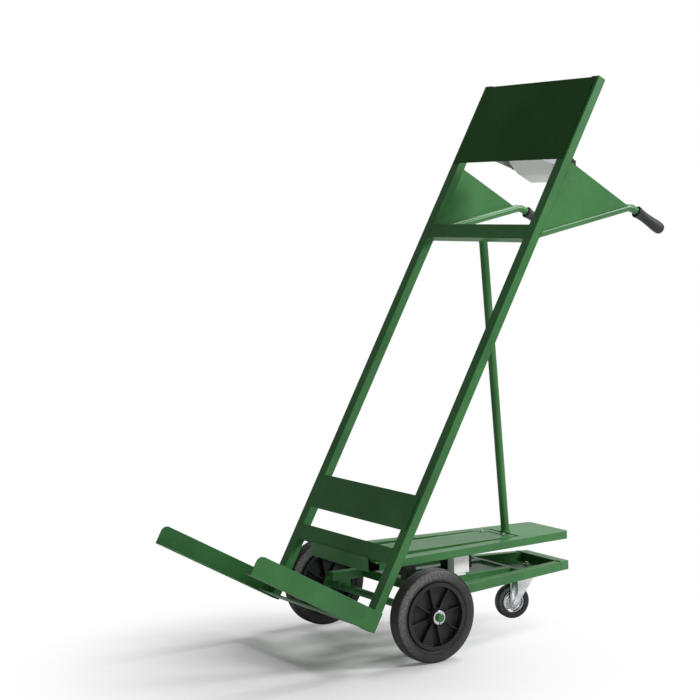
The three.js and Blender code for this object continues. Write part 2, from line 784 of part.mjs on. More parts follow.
// Caster: one swivelling wheel under the rear, turned a little and trailing forward
const casterTurn = THREE.MathUtils.degToRad(-14);
const casterRadius = 57.5;
const casterTrail = 55;
const casterTyreHalf = 18;
const casterHubRadius = 36;
const forkGap = 4.5;
const bossGap = 0.5;
const forkInner = casterTyreHalf + forkGap;
const forkOuter = forkInner + tubeWall;
const casterBossHalf = forkInner - bossGap;
const crownBottom = 148;
const crownTop = crownBottom + tubeWall;
const cupTop = 163;
const cupRadius = 27;
const kingPin = 8;
const kingHead = 13;
const kingHeadHeight = 5;
const raceRadius = 29;
const nutRadius = 9;
const nutHeight = 8;
const nutTop = casterPlateTop + fit + nutHeight;
const mountBoltRise = 5;
const mountBoltTop = nutTop + mountBoltRise;
const forkEnd = 14;

function addCaster(name, geometry, finish) {
  add(name, geometry.rotateZ(casterTurn).translate(swivelX, 0, 0), finish);
}

const headTop = crownBottom - fit;
const mount = upright(turned([
  [0, headTop - kingHeadHeight],
  [kingHead, headTop - kingHeadHeight],
  [kingHead, headTop],
  [kingPin, headTop],
  [kingPin, cupTop + fit],
  [raceRadius, cupTop + fit],
  [raceRadius, casterPlateBottom - fit],
  [mountBolt, casterPlateBottom - fit],
  [mountBolt, mountBoltTop],
  [0, mountBoltTop],
], casterSegments));
const nut = upright(ring(mountBolt / 2, nutRadius, casterPlateTop + fit, nutTop, hexagon));
addCaster("caster_mount", join(mount, nut), zincPlate);

const crownRear = cupRadius - sheet;
const crownFront = -casterTrail - forkEnd;
const forkCrown = block([crownFront, -forkOuter, crownBottom], [crownRear, forkOuter, crownTop]);
const forkCup = upright(rod(cupRadius, crownBottom, cupTop, casterSegments));
const forkShape = new THREE.Shape();
forkShape.moveTo(crownRear, crownTop);
forkShape.lineTo(crownFront, crownTop);
forkShape.lineTo(crownFront, casterRadius);
forkShape.absarc(-casterTrail, casterRadius, forkEnd, Math.PI, Math.PI * 1.9, false);
forkShape.lineTo(crownRear, crownBottom);
const forkLegs = sides.map(([, sign]) => slabAcross(forkShape, ...span(sign, forkInner, forkOuter)));
const kingHole = upright(rod(kingPin + runningFit, 0, casterPlateTop, casterSegments));
const axleHole = rod(boltRadius + fit, -forkOuter * 2, forkOuter * 2, casterSegments)
  .translate(-casterTrail, 0, casterRadius);
const fork = cut(join(forkCrown, forkCup, ...forkLegs), kingHole, axleHole);
addCaster("caster_fork", fork, zincPlate);

const casterCentre = [-casterTrail, 0, casterRadius];
const discHalf = 7;
const lipInset = 2;
const lipHalf = casterTyreHalf - lipInset;
const lipWidth = 3;
const casterBoss = 12;
addCaster("caster_hub", turned([
  [boltRadius + runningFit, -casterBossHalf],
  [casterBoss, -casterBossHalf],
  [casterBoss, -discHalf],
  [casterHubRadius - lipWidth, -discHalf],
  [casterHubRadius - lipWidth, -lipHalf],
  [casterHubRadius, -lipHalf],
  [casterHubRadius, lipHalf],
  [casterHubRadius - lipWidth, lipHalf],
  [casterHubRadius - lipWidth, discHalf],
  [casterBoss, discHalf],
  [casterBoss, casterBossHalf],
  [boltRadius + runningFit, casterBossHalf],
  [boltRadius + runningFit, -casterBossHalf],
], casterSegments).translate(...casterCentre), zincPlate);
const casterTyre = tyre(casterHubRadius + fit, casterRadius, casterTyreHalf, casterSegments);
addCaster("caster_tyre", casterTyre.translate(...casterCentre), blackRubber);

const capRadius = 9.5;
const capWidth = 6;
const capStart = forkOuter + fit;
const pin = rod(boltRadius, -capStart, capStart, casterSegments);
const caps = sides.map(([, sign]) => rod(capRadius, ...span(sign, capStart, capStart + capWidth), hexagon));
addCaster("caster_axle_bolt", join(pin, ...caps).translate(...casterCentre), zincPlate);

// Indicator bracket: bent sheet, screwed flat to the back of the panel
const bracketSheet = 2.5;
const caseHalf = 120;
const bracketGap = 7.5;
const bracketHalf = caseHalf + bracketGap;
const bracketBase = -railDepth;
const knobOverPanelFoot = 64;
const knobHeight = panelFoot + knobOverPanelFoot;
const knobX = 110;
const bracketFootHalf = 45;
const bracketEyeHalf = 22;
const studRadius = 4;
const cableHole = 18;
const screwHole = 3.5;
const eyeHole = studRadius + fit;
const armShape = new THREE.Shape();
armShape.moveTo(bracketBase, knobHeight - bracketFootHalf);
armShape.lineTo(knobX, knobHeight - bracketEyeHalf);
armShape.absarc(knobX, knobHeight, bracketEyeHalf, -Math.PI / 2, Math.PI / 2, false);
armShape.lineTo(bracketBase, knobHeight + bracketFootHalf);
const bracketArms = sides.map(([, sign]) => (
  slabAcross(armShape, ...span(sign, bracketHalf - bracketSheet, bracketHalf))
));
const bracketPlate = block(
  [bracketBase, -bracketHalf, knobHeight - bracketFootHalf],
  [bracketBase + bracketSheet, bracketHalf, knobHeight + bracketFootHalf],
);
const throughPlate = (radius, y, z, segments) => (
  rod(radius, -bracketSheet * 2, bracketSheet * 2, segments)
    .rotateZ(Math.PI / 2)
    .translate(bracketBase + bracketSheet / 2, y, knobHeight + z)
);
const screwShares = [[-0.62, 0.62], [0.62, 0.62], [-0.62, -0.62], [0.62, -0.62]];
const bracketHoles = screwShares.map(([across, up]) => (
  throughPlate(screwHole, across * bracketHalf, up * bracketFootHalf, 8)
));
const eyes = rod(eyeHole, -frameWidth, frameWidth, round).translate(knobX, 0, knobHeight);
addLeaning("indicator_bracket", cut(
  join(bracketPlate, ...bracketArms), ...bracketHoles, throughPlate(cableHole, 0, 0, round), eyes,
), stainless);

// The indicator is laid out on its own face: X to the operator's right, Y up the face, Z out of it
const faceTilt = THREE.MathUtils.degToRad(41);
const knobPlace = new THREE.Vector3(knobX, 0, knobHeight).applyMatrix4(lean);
const faceOut = new THREE.Vector3(Math.cos(faceTilt), 0, Math.sin(faceTilt));
const faceUp = new THREE.Vector3(-Math.sin(faceTilt), 0, Math.cos(faceTilt));
const facing = new THREE.Matrix4()
  .makeBasis(new THREE.Vector3(0, 1, 0), faceUp, faceOut)
  .setPosition(knobPlace);

function addFacing(name, geometry, finish) {
  add(name, geometry.applyMatrix4(facing), finish);
}

// Indicator case: front and rear shells, parted just ahead of the pivot bosses
const caseUp = 70;
const caseRound = 16;
const partLine = 15;
const faceHeight = 34;
const faceEdge = 25;
const faceInset = 7;
const caseWall = 3;
const backStart = -14;
const backEnd = -38;
const backInset = 12;
const backHalf = caseHalf - backInset;
const backLow = -12;
const backHigh = 56;
const pivotBoss = 14;
const lcdLeftMargin = 48.5;
const lcdRightMargin = 54.5;
const lcdHalf = caseHalf - (lcdLeftMargin + lcdRightMargin) / 2;
const lcdLow = -2;
const lcdHigh = 41;
const lcdX = (lcdLeftMargin - lcdRightMargin) / 2;
const buttonRadius = 11;
const buttonPitch = 27;
const buttonY = -19;
const buttonX = -10;
const ledRadius = 4.7;
const ledInset = 32;
const ledX = caseHalf - ledInset;
const ledY = 2;
const around = 12;
const faceInner = faceHeight - caseWall;
const frontStart = partLine + fit;

const frontSkin = loft([
  roundedRing(caseHalf, -caseUp, caseUp, caseRound, frontStart),
  roundedRing(caseHalf, -caseUp, caseUp, caseRound, faceEdge),
  roundedRing(caseHalf - faceInset * 0.3, -caseUp + faceInset * 0.3, caseUp - faceInset * 0.3,
    caseRound, faceHeight - faceInset * 0.4),
  roundedRing(caseHalf - faceInset, -caseUp + faceInset, caseUp - faceInset, caseRound, faceHeight),
]);
const frontHollow = loft([
  roundedRing(caseHalf - caseWall, -caseUp + caseWall, caseUp - caseWall, caseRound, partLine - caseWall),
  roundedRing(caseHalf - caseWall, -caseUp + caseWall, caseUp - caseWall, caseRound, faceEdge - caseWall),
  roundedRing(caseHalf - faceInset - caseWall, -caseUp + faceInset + caseWall,
    caseUp - faceInset - caseWall, caseRound, faceInner),
]);
const lcdOpening = block(
  [lcdX - lcdHalf - fit, lcdLow - fit, faceInner - caseWall],
  [lcdX + lcdHalf + fit, lcdHigh + fit, faceHeight + caseWall],
);
const through = (radius, x, y, segments) => (
  upright(rod(radius, faceInner - caseWall, faceHeight + caseWall, segments)).translate(x, y, 0)
);
const keyCount = 6;
const buttonPlaces = Array.from({ length: keyCount }, (_, i) => (
  buttonX + (i - (keyCount - 1) / 2) * buttonPitch
));
const buttonHoles = buttonPlaces.map((x) => through(buttonRadius + fit, x, buttonY, around));
const boardFront = 24;
const boardThick = 1.6;
const boardInset = 20;
const boardHalf = caseHalf - boardInset;
const boardUp = 54;
const postRadius = 4;
const postShares = [[-0.92, -0.85], [0.92, -0.85], [-0.92, 0.85], [0.92, 0.85]];
const posts = postShares.map(([x, y]) => (
  upright(rod(postRadius, boardFront + fit, faceInner + caseWall / 2, 8))
    .translate(x * boardHalf, y * boardUp, 0)
));
const frontShell = join(cut(frontSkin, frontHollow), ...posts);
addFacing("indicator_front_shell", cut(
  frontShell, lcdOpening, ...buttonHoles, through(ledRadius + fit, ledX, ledY, around),
), palePlastic);

const backSkin = loft([
  roundedRing(backHalf, backLow, backHigh, caseRound, backEnd),
  roundedRing(caseHalf - caseWall, -caseUp + caseWall, caseUp - caseWall / 2, caseRound, backStart),
  roundedRing(caseHalf, -caseUp, caseUp, caseRound, partLine),
]);
const backHollow = loft([
  roundedRing(backHalf - caseWall, backLow + caseWall, backHigh - caseWall, caseRound, backEnd + caseWall),
  roundedRing(caseHalf - caseWall * 2, -caseUp + caseWall * 3, caseUp - caseWall * 2, caseRound, backStart),
  roundedRing(caseHalf - caseWall, -caseUp + caseWall, caseUp - caseWall, caseRound, partLine + caseWall),
]);
const pivotEnd = bracketHalf - bracketSheet - fit;
const acrossFace = (radius, low, high, segments) => rod(radius, low, high, segments).rotateZ(-Math.PI / 2);
const pivots = sides.map(([, sign]) => (
  acrossFace(pivotBoss, ...span(sign, caseHalf - caseWall * 3, pivotEnd), round)
));
const pivotBore = acrossFace(studRadius + fit, -bracketHalf, bracketHalf, round);
addFacing("indicator_rear_shell", cut(
  join(cut(backSkin, backHollow), ...pivots), pivotBore,
), palePlastic);

// Inside the case: the circuit board with its display block, and the battery on the back wall
const boardBack = boardFront - boardThick;
const displayInset = 1;
const displayBlock = block(
  [lcdX - lcdHalf + displayInset, lcdLow + displayInset, boardBack],
  [lcdX + lcdHalf - displayInset, lcdHigh - displayInset, faceInner - fit],
);
addFacing("indicator_circuit_board", join(
  block([-boardHalf, -boardUp, boardBack], [boardHalf, boardUp, boardFront]), displayBlock,
), boardGreen);
const batteryHalf = 50;
const batteryLow = 2;
const batteryHigh = 47;
const batteryTop = -6;
addFacing("indicator_battery", block(
  [-batteryHalf, batteryLow, backEnd + caseWall + fit],
  [batteryHalf, batteryHigh, batteryTop],
), blackPlastic);

// Display window, charge lamp and six keys
const windowDrop = 0.4;
addFacing("display_window", block(
  [lcdX - lcdHalf, lcdLow, faceInner],
  [lcdX + lcdHalf, lcdHigh, faceHeight - windowDrop],
), litGlass);
const ledDome = 1.2;
addFacing("charge_lamp", upright(turned([
  [0, faceInner],
  [ledRadius, faceInner],
  [ledRadius, faceHeight],
  [ledRadius * 0.6, faceHeight + ledDome],
  [0, faceHeight + ledDome],
], around)).translate(ledX, ledY, 0), redLens);
const keyRise = 1;
const keyFlange = 1.5;
const keyFlangeSheet = 1.2;
const keyStem = 3;
const keyGap = 1.2;
buttonPlaces.forEach((x, index) => {
  const key = upright(turned([
    [0, boardFront + keyGap],
    [keyStem, boardFront + keyGap],
    [keyStem, faceInner - fit - keyFlangeSheet],
    [buttonRadius + keyFlange, faceInner - fit - keyFlangeSheet],
    [buttonRadius + keyFlange, faceInner - fit],
    [buttonRadius, faceInner - fit],
    [buttonRadius, faceHeight + keyRise],
    [0, faceHeight + keyRise],
  ], around)).translate(x, buttonY, 0);
  addFacing(`key_${index + 1}`, key, navyPlastic);
});

// Clamp knobs: lobed heads with a stepped neck, on studs into the case
const knobNeckStart = bracketHalf + fit;
const knobNeckLength = 11.5;
const knobHeadStart = bracketHalf + knobNeckLength;
const knobHeadWidth = 19;
const knobEnd = knobHeadStart + knobHeadWidth;
const knobNeck = 9;
const knobRadius = 15.5;
const knobLobe = 1.6;
const lobes = 7;
const studReach = 7;
const studEnd = caseHalf - studReach;
const lobePoints = Array.from({ length: lobes * 4 }, (_, i) => {
  const angle = i / (lobes * 4) * Math.PI * 2;
  const reach = knobRadius + knobLobe * Math.cos(lobes * angle);
  return [reach * Math.cos(angle), reach * Math.sin(angle)];
});
for (const [side, sign] of sides) {
  const [low, high] = span(sign, knobHeadStart, knobEnd);
  const head = new THREE.ExtrudeGeometry(outline(lobePoints), { depth: high - low, bevelEnabled: false })
    .translate(0, 0, low)
    .rotateY(Math.PI / 2);
  const neck = acrossFace(knobNeck, ...span(sign, knobNeckStart, knobHeadStart + fit), round);
  const stud = acrossFace(studRadius, ...span(sign, studEnd, knobHeadStart), round);
  addFacing(`${side}_clamp_knob`, join(head, neck, stud), blackPlastic);
}

// The origin lies under the middle of the whole truck, on the ground
const bounds = new THREE.Box3().setFromObject(group);
const middleX = (bounds.min.x + bounds.max.x) / 2;
for (const mesh of group.children) mesh.geometry.translate(-middleX, 0, 0);

export default group;
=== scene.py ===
# Looks of the weighing hand truck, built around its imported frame. Metres, +X back to the grips, +Z up.
import math

import bmesh
import bpy
import numpy as np
from mathutils import Matrix, Vector


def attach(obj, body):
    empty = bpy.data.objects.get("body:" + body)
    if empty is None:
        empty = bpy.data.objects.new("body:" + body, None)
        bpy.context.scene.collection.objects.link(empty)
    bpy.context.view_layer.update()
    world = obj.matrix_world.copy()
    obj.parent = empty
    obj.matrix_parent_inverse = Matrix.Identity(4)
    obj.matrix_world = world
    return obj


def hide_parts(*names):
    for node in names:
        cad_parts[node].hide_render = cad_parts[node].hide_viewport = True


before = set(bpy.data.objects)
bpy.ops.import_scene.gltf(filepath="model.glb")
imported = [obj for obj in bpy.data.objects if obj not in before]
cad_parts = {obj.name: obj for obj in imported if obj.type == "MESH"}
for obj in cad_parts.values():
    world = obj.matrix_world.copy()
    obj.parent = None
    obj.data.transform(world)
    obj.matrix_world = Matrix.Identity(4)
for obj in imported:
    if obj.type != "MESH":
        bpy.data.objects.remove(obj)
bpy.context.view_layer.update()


# Camera: at the photograph's viewing angle, in front of the toe arms on the operator's left, a little
# higher than the grips and rolled by one degree. Lens and place were solved from straight edges.
photo_pixels = 700
focal_pixels = 1844.6
sensor_width = 36
view_reach = 100
camera_place = Vector((-3.304, -4.902, 1.431))
camera_turn = Vector((1.602, -0.4748, 0.409))
right, down, ahead = Matrix.Rotation(camera_turn.length, 3, camera_turn.normalized())
camera = bpy.data.objects.new("camera", bpy.data.cameras.new("camera"))
camera.data.sensor_width = sensor_width
camera.data.lens = focal_pixels / photo_pixels * sensor_width
camera.data.clip_end = view_reach
camera.matrix_world = Matrix((
    (right.x, -down.x, -ahead.x, camera_place.x),
    (right.y, -down.y, -ahead.y, camera_place.y),
    (right.z, -down.z, -ahead.z, camera_place.z),
    (0, 0, 0, 1),
))
bpy.context.scene.collection.objects.link(camera)
bpy.context.scene.camera = camera
bpy.context.scene.view_settings.view_transform = "Standard"


# Studio: a pale floor that fades into a white background, one large key lamp over the near right
# of the truck, weaker ones for the tops and the near side, and a wide one behind that the tops mirror.
# Its floor is the first finish, so the classes that every finish is written with stand here.
class Socket:
    """A value in a material's nodes; the sum, difference or product of two is a Math node."""

    def __init__(self, finish, link):
        self.finish = finish
        self.link = link

    def math(self, operation, first, second):
        return self.finish.node("ShaderNodeMath", {"operation": operation}, {0: first, 1: second})

    def __add__(self, other):
        return self.math("ADD", self, other)

    __radd__ = __add__

    def __sub__(self, other):
        return self.math("SUBTRACT", self, other)

    def __rsub__(self, other):
        return self.math("SUBTRACT", other, self)

    def __mul__(self, other):
        return self.math("MULTIPLY", self, other)

    __rmul__ = __mul__

    def over(self, limit):
        """One where the value is more than the limit, otherwise nought."""
        return self.math("GREATER_THAN", self, limit)

    def under(self, limit):
        """One where the value is less than the limit, otherwise nought."""
        return self.math("LESS_THAN", self, limit)

    def power(self, exponent):
        """The value raised to a fixed power."""
        return self.math("POWER", self, exponent)

    def most(self, other):
        """The greater of two values."""
        return self.math("MAXIMUM", self, other)

    def ramp(self, low, high):
        """Rises smoothly from nought at the low value to one at the high value."""
        settings = {"interpolation_type": "SMOOTHSTEP"}
        return self.finish.node("ShaderNodeMapRange", settings, {0: self, 1: low, 2: high})


def ink(code):
    """A six-digit colour code as the light that Blender wants: each share raised by the sRGB curve."""
    shares = [int(code[i:i + 2], 16) / 255 for i in (0, 2, 4)]
    return tuple(c / 12.92 if c <= 0.04045 else ((c + 0.055) / 1.055) ** 2.4 for c in shares) + (1.0,)


class Finish:
    """A material under construction round one Principled shader."""

    def __init__(self, name, **constants):
        self.material = bpy.data.materials.new(name)
        self.material.use_nodes = True
        self.nodes = self.material.node_tree.nodes
        self.links = self.material.node_tree.links
        self.shader = self.nodes["Principled BSDF"]
        for key, value in constants.items():
            self.shader.inputs[key.replace("_", " ")].default_value = value

    def node(self, kind, settings=None, values=None, output=0):
        """Adds a node: its settings first, then the values or links of its sockets."""
        made = self.nodes.new(kind)
        for key, value in (settings or {}).items():
            setattr(made, key, value)
        for key, value in (values or {}).items():
            if isinstance(value, Socket):
                self.links.new(value.link, made.inputs[key])
            else:
                made.inputs[key].default_value = value
        return Socket(self, made.outputs[output])

    def place(self):
        """Where a point is on the object, in metres."""
        return self.node("ShaderNodeTexCoord", output="Object")

    def along(self, vector, way):
        """How far a point lies along a direction: the dot product of the two."""
        return self.node("ShaderNodeVectorMath", {"operation": "DOT_PRODUCT"}, {0: vector, 1: way}, "Value")

    def distance(self, vector, centre):
        """How far a point lies from a centre."""
        return self.node("ShaderNodeVectorMath", {"operation": "DISTANCE"}, {0: vector, 1: centre}, "Value")

    def stretched(self, stretch):
        """Where a point is on the object, each way multiplied by its own stretch."""
        values = {"Vector": self.place(), "Scale": stretch}
        return self.node("ShaderNodeMapping", {"vector_type": "POINT"}, values)

    def noise(self, scale, detail, vector=None):
        """Soft clouds between nought and one, about as many to the metre as the scale says."""
        values = {"Vector": vector or self.place(), "Scale": scale, "Detail": detail}
        return self.node("ShaderNodeTexNoise", {}, values)

    def blend(self, share, first, second):
        """The first colour where the share is nought, the second where it is one."""
        return self.node("ShaderNodeMix", {"data_type": "RGBA"}, {0: share, 6: first, 7: second}, 2)

    def feed(self, name, value):
        self.links.new(value.link, self.shader.inputs[name])

    def bump(self, height, distance, strength):
        values = {"Height": height, "Distance": distance, "Strength": strength}
        self.feed("Normal", self.node("ShaderNodeBump", {}, values))


floor_half, floor_grey = 30.0, 0.76
shade_middle, shade_near, shade_far = (-0.42, -0.12, 0), 0.2, 1.0
least_glow, most_glow = 0.06, 0.94
floor_corners = [(x * floor_half, y * floor_half, 0) for x, y in ((-1, -1), (1, -1), (1, 1), (-1, 1))]
floor_mesh = bpy.data.meshes.new("studio_floor")
floor_mesh.from_pydata(floor_corners, [], [(0, 1, 2, 3)])
floor = bpy.data.objects.new("studio_floor", floor_mesh)
bpy.context.scene.collection.objects.link(floor)
floor_paint = Finish("studio_floor", Roughness=0.9, Base_Color=(floor_grey, floor_grey, floor_grey, 1))
floor_paint.shader.inputs["Specular IOR Level"].default_value = 0.1
fade = floor_paint.distance(floor_paint.place(), shade_middle).ramp(shade_near, shade_far)
glow = floor_paint.node("ShaderNodeEmission", {}, {"Color": (1, 1, 1, 1), "Strength": 1.0})
rays = floor_paint.node("ShaderNodeLightPath", output="Is Camera Ray")
share = (least_glow + fade * most_glow) * rays
painted = Socket(floor_paint, floor_paint.shader.outputs[0])
mixed = floor_paint.node("ShaderNodeMixShader", {}, {0: share, 1: painted, 2: glow})
floor_paint.links.new(mixed.link, floor_paint.nodes["Material Output"].inputs["Surface"])
floor_mesh.materials.append(floor_paint.material)

sky_light, sky_white = 0.2, 1.0
world = bpy.data.worlds.new("studio")
world.use_nodes = True
bpy.context.scene.world = world
sky = world.node_tree
paths = sky.nodes.new("ShaderNodeLightPath")
seen = sky.nodes.new("ShaderNodeMath")
seen.operation = "MAXIMUM"
sky.links.new(paths.outputs["Is Camera Ray"], seen.inputs[0])
sky.links.new(paths.outputs["Is Transmission Ray"], seen.inputs[1])
backdrop = sky.nodes.new("ShaderNodeMapRange")
backdrop.inputs["To Min"].default_value = sky_light
backdrop.inputs["To Max"].default_value = sky_white
sky.links.new(seen.outputs[0], backdrop.inputs[0])
sky.nodes["Background"].inputs["Color"].default_value = (1, 1, 1, 1)
sky.links.new(backdrop.outputs[0], sky.nodes["Background"].inputs["Strength"])

lamps = [
    ("key_lamp", (3.6, -3.4, 3.6), (0.05, 0, 0.6), 1.6, 255),
    ("top_lamp", (2.4, 0.3, 4.6), (0.1, 0, 0.3), 1.6, 150),
    ("side_lamp", (-1.6, -5.5, 1.4), (0, 0, 0.6), 2.0, 35),
    ("back_lamp", (5.0, 6.4, 1.9), (0.3, 0, 0.3), 4.0, 36),
]
for name, place, target, width, power in lamps:
    lamp = bpy.data.lights.new(name, "AREA")
    lamp.size = width
    lamp.energy = power
    holder = bpy.data.objects.new(name, lamp)
    holder.location = place
    holder.rotation_euler = (Vector(target) - Vector(place)).to_track_quat("-Z", "Y").to_euler()
    bpy.context.scene.collection.objects.link(holder)


# Frame: rectangular steel tube and bent plate, welded and then sprayed with green enamel. The rails,
# cross beams, arms and plates keep their CAD form with their edges rounded a little. Places along the
# truck are first taken from the wheels' axle, which stands truck_shift in front of the truck's middle.
truck_shift = 0.166047
foot = np.array((-0.206 - truck_shift, 0.0, 0.116))
lean = math.radians(28.8)
back_way = np.array((math.cos(lean), 0.0, -math.sin(lean)))
up_way = np.array((math.sin(lean), 0.0, math.cos(lean)))
across = np.array((0.0, 1.0, 0.0))
touching, flat_angle, corner_angle = 1e-6, math.radians(0.5), math.radians(38)


def leaning(back, side, up):
    """Places on the frame: back from the rails' rear faces, across the truck, and up along them."""
    spread = np.multiply.outer
    return foot + spread(back, back_way) + spread(side, across) + spread(up, up_way)


def show(obj, finish, body, slot, *nodes):
    """Links a finished piece, gives it its finish, and says what it rides on and stands for."""
    bpy.context.scene.collection.objects.link(obj)
    obj.data.materials.clear()
    obj.data.materials.append(finish.material)
    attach(obj, body)
    if nodes:
        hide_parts(*nodes)


def eased(node, finish, body, slot, width, steps=3):
    """A copy of a CAD node with its loose triangles merged and its edges rounded to a width."""
    made = bpy.data.objects.new(f"{node}_dressed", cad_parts[node].data.copy())
    shape = bmesh.new()
    shape.from_mesh(made.data)
    bmesh.ops.remove_doubles(shape, verts=shape.verts, dist=touching)
    bmesh.ops.dissolve_limit(shape, angle_limit=flat_angle, verts=shape.verts, edges=shape.edges)
    for face in shape.faces:
        face.smooth = True
    shape.to_mesh(made.data)
    shape.free()
    rounding = made.modifiers.new("rounding", "BEVEL")
    rounding.width = width
    rounding.segments = steps
    rounding.limit_method = "ANGLE"
    rounding.angle_limit = corner_angle
    rounding.harden_normals = True
    rounding.use_clamp_overlap = True
    flats = made.modifiers.new("flats", "WEIGHTED_NORMAL")
    flats.weight = 100
    show(made, finish, body, slot, node)


def eased_each(edges, *look):
    """Every node of a table, rounded to the width that stands beside it."""
    for node, width in edges.items():
        eased(node, *look, width)


def enamel(name, base, deep, pale, shine=0.3):
    """Sprayed enamel: three greens mixed by slow noise, thin dust and orange peel."""
    paint = Finish(name, Coat_Roughness=0.25, Specular_IOR_Level=shine)
    slow = paint.noise(3.5, 4)
    cloud = paint.noise(22, 5)
    fine = paint.noise(420, 2)
    tone = paint.blend(slow.ramp(0.35, 0.7), ink(base), ink(deep))
    tone = paint.blend(cloud.ramp(0.56, 0.8) * 0.25, tone, ink(pale))
    dust = paint.noise(60, 6).ramp(0.6, 0.85) * 0.33 * shine
    paint.feed("Base Color", paint.blend(dust, tone, ink("93a08c")))
    paint.feed("Roughness", 0.36 + cloud * 0.16 + dust)
    paint.feed("Coat Weight", 0.6 * shine - dust)
    paint.bump(fine * 0.4 + paint.noise(140, 2) * 0.6, distance=0.00012, strength=0.5)
    return paint


green = enamel("green_enamel", "37753b", "2c6431", "4a8a4c")
sprayed = (green, "frame", "green_paint")
tube_edge, plate_edge, sheet_edge = 0.003, 0.001, 0.0008
frame_edges = {
    "left_rail": tube_edge, "right_rail": tube_edge, "lower_cross_beam": tube_edge,
    "upper_cross_beam": tube_edge, "left_toe_arm": plate_edge, "right_toe_arm": plate_edge,
    "toe_cross_plate": plate_edge, "back_cross_plate": plate_edge,
    "left_handle_gusset": sheet_edge, "right_handle_gusset": sheet_edge,
}
eased_each(frame_edges, *sprayed)


# Top panel: one thin sheet, lapped onto the front of the two rails from their top ends down. Its
# darker green is painted shade: the frame's green dimmed for a front that faces away from the lamps.
# It carries the indicator's bracket on its back.
# Painted shade: the frame's greens made darker for the panel's front.
shaded_green = enamel("shaded_green_enamel", "245a20", "1e4e1a", "2e682b", shine=0.12)
eased("top_panel", shaded_green, "frame", "dark_green_paint", sheet_edge, 2)


# Weld beads: short rippled runs where tubes and plates meet, painted over with the frame. The cross
# beams are welded on three sides, the back plate in tacks, the toe arms across the rails and the
# gussets along them.
rail_out, rail_in, rail_thick = 0.306, 0.266, 0.030
beam_levels = ((0.210, 0.260), (1.316, 1.366))
tack_levels, tack_length = np.arange(0.325, 0.43, 0.042), 0.025
arm_level, arm_inset, arm_weld = 0.0655, 0.001, 0.0024
gusset_low, gusset_high, gusset_side, gusset_weld = 1.362, 1.602, 0.303, 0.0029
weld_radius, weld_around, taper_share = 0.0028, 8, 1.5
weld_step, least_steps, ripple_length, ripple_share = 0.0016, 8, 0.0042, 0.16


def mesh_piece(name, places, faces, smooth=True):
    """An object at the origin from an array of places and a list of faces, doubles merged, faces out."""
    data = bpy.data.meshes.new(name)
    corners = [list(map(int, face)) for face in faces]
    data.from_pydata(np.asarray(places, float).reshape(-1, 3).tolist(), [], corners)
    shape = bmesh.new()
    shape.from_mesh(data)
    bmesh.ops.remove_doubles(shape, verts=shape.verts, dist=touching)
    bmesh.ops.recalc_face_normals(shape, faces=shape.faces)
    for face in shape.faces:
        face.smooth = smooth
    shape.to_mesh(data)
    shape.free()
    return bpy.data.objects.new(name, data)


def skin(rows, columns):
    """Faces of a grid of places, four corners each; every row closes on itself."""
    r, c = (grid.ravel() for grid in np.meshgrid(np.arange(rows - 1), np.arange(columns), indexing="ij"))
    here, below = r * columns, (r + 1) * columns
    beside = (c + 1) % columns
    return np.stack([here + c, here + beside, below + beside, below + c], 1)


def swept(path, radii, around, normal=(0, 1, 0)):
    """Rings about a flat path: each place plus radius times cosine and sine along two cross directions."""
    path = np.asarray(path, float)
    way = np.gradient(path, axis=0)
    way /= np.linalg.norm(way, axis=1)[:, None]
    side = np.broadcast_to(np.asarray(normal, float), way.shape)
    over = np.cross(way, side)
    over /= np.linalg.norm(over, axis=1)[:, None]
    angle = np.linspace(0, 2 * np.pi, around, endpoint=False)
    radii = np.asarray(radii, float)[:, None, None]
    turn = np.cos(angle)[None, :, None] * side[:, None] + np.sin(angle)[None, :, None] * over[:, None]
    return (path[:, None] + radii * turn).reshape(-1, 3), skin(len(path), around)


def joined(name, parts, finish, body, slot, *nodes, smooth=True):
    """Shows several surfaces as one piece: their places in one array, their faces counted on."""
    places, faces, count = [], [], 0
    for spots, quads in parts:
        places.append(np.asarray(spots, float).reshape(-1, 3))
        faces.extend([[int(i) + count for i in face] for face in quads])
        count += len(places[-1])
    show(mesh_piece(name, np.concatenate(places), faces, smooth), finish, body, slot, *nodes)


def bead(start, end, radius=weld_radius, normal=(0, 1, 0)):
    """A weld run between two places: a tube whose radius ripples and shrinks to nothing at both ends."""
    start, end = np.asarray(start, float), np.asarray(end, float)
    length = np.linalg.norm(end - start)
    along = np.linspace(0, 1, max(int(length / weld_step), least_steps))
    ripple = 1 + ripple_share * np.sin(along * length / ripple_length * 2 * np.pi)
    taper = np.clip(np.minimum(along, 1 - along) * length / radius / taper_share, 0, 1) ** 0.5
    return swept(start + along[:, None] * (end - start), radius * ripple * taper, weld_around, normal)


beads = []
for side in (-1, 1):
    inner, outer, gusset = side * rail_in, side * rail_out, side * gusset_side
    for low, high in beam_levels:
        beads.append(bead(leaning(0, inner, low), leaning(0, inner, high)))
        for level in (low, high):
            beads.append(bead(leaning(-rail_thick, inner, level), leaning(0, inner, level)))
    for low in tack_levels:
        beads.append(bead(leaning(-rail_thick, inner, low), leaning(-rail_thick, inner, low + tack_length)))
    arm_ends = [leaning(-depth, outer, arm_level) for depth in (arm_inset, rail_thick - arm_inset)]
    beads.append(bead(*arm_ends, arm_weld))
    beads.append(bead(leaning(0, gusset, gusset_low), leaning(0, gusset, gusset_high), gusset_weld))
joined("frame_welds", beads, *sprayed)


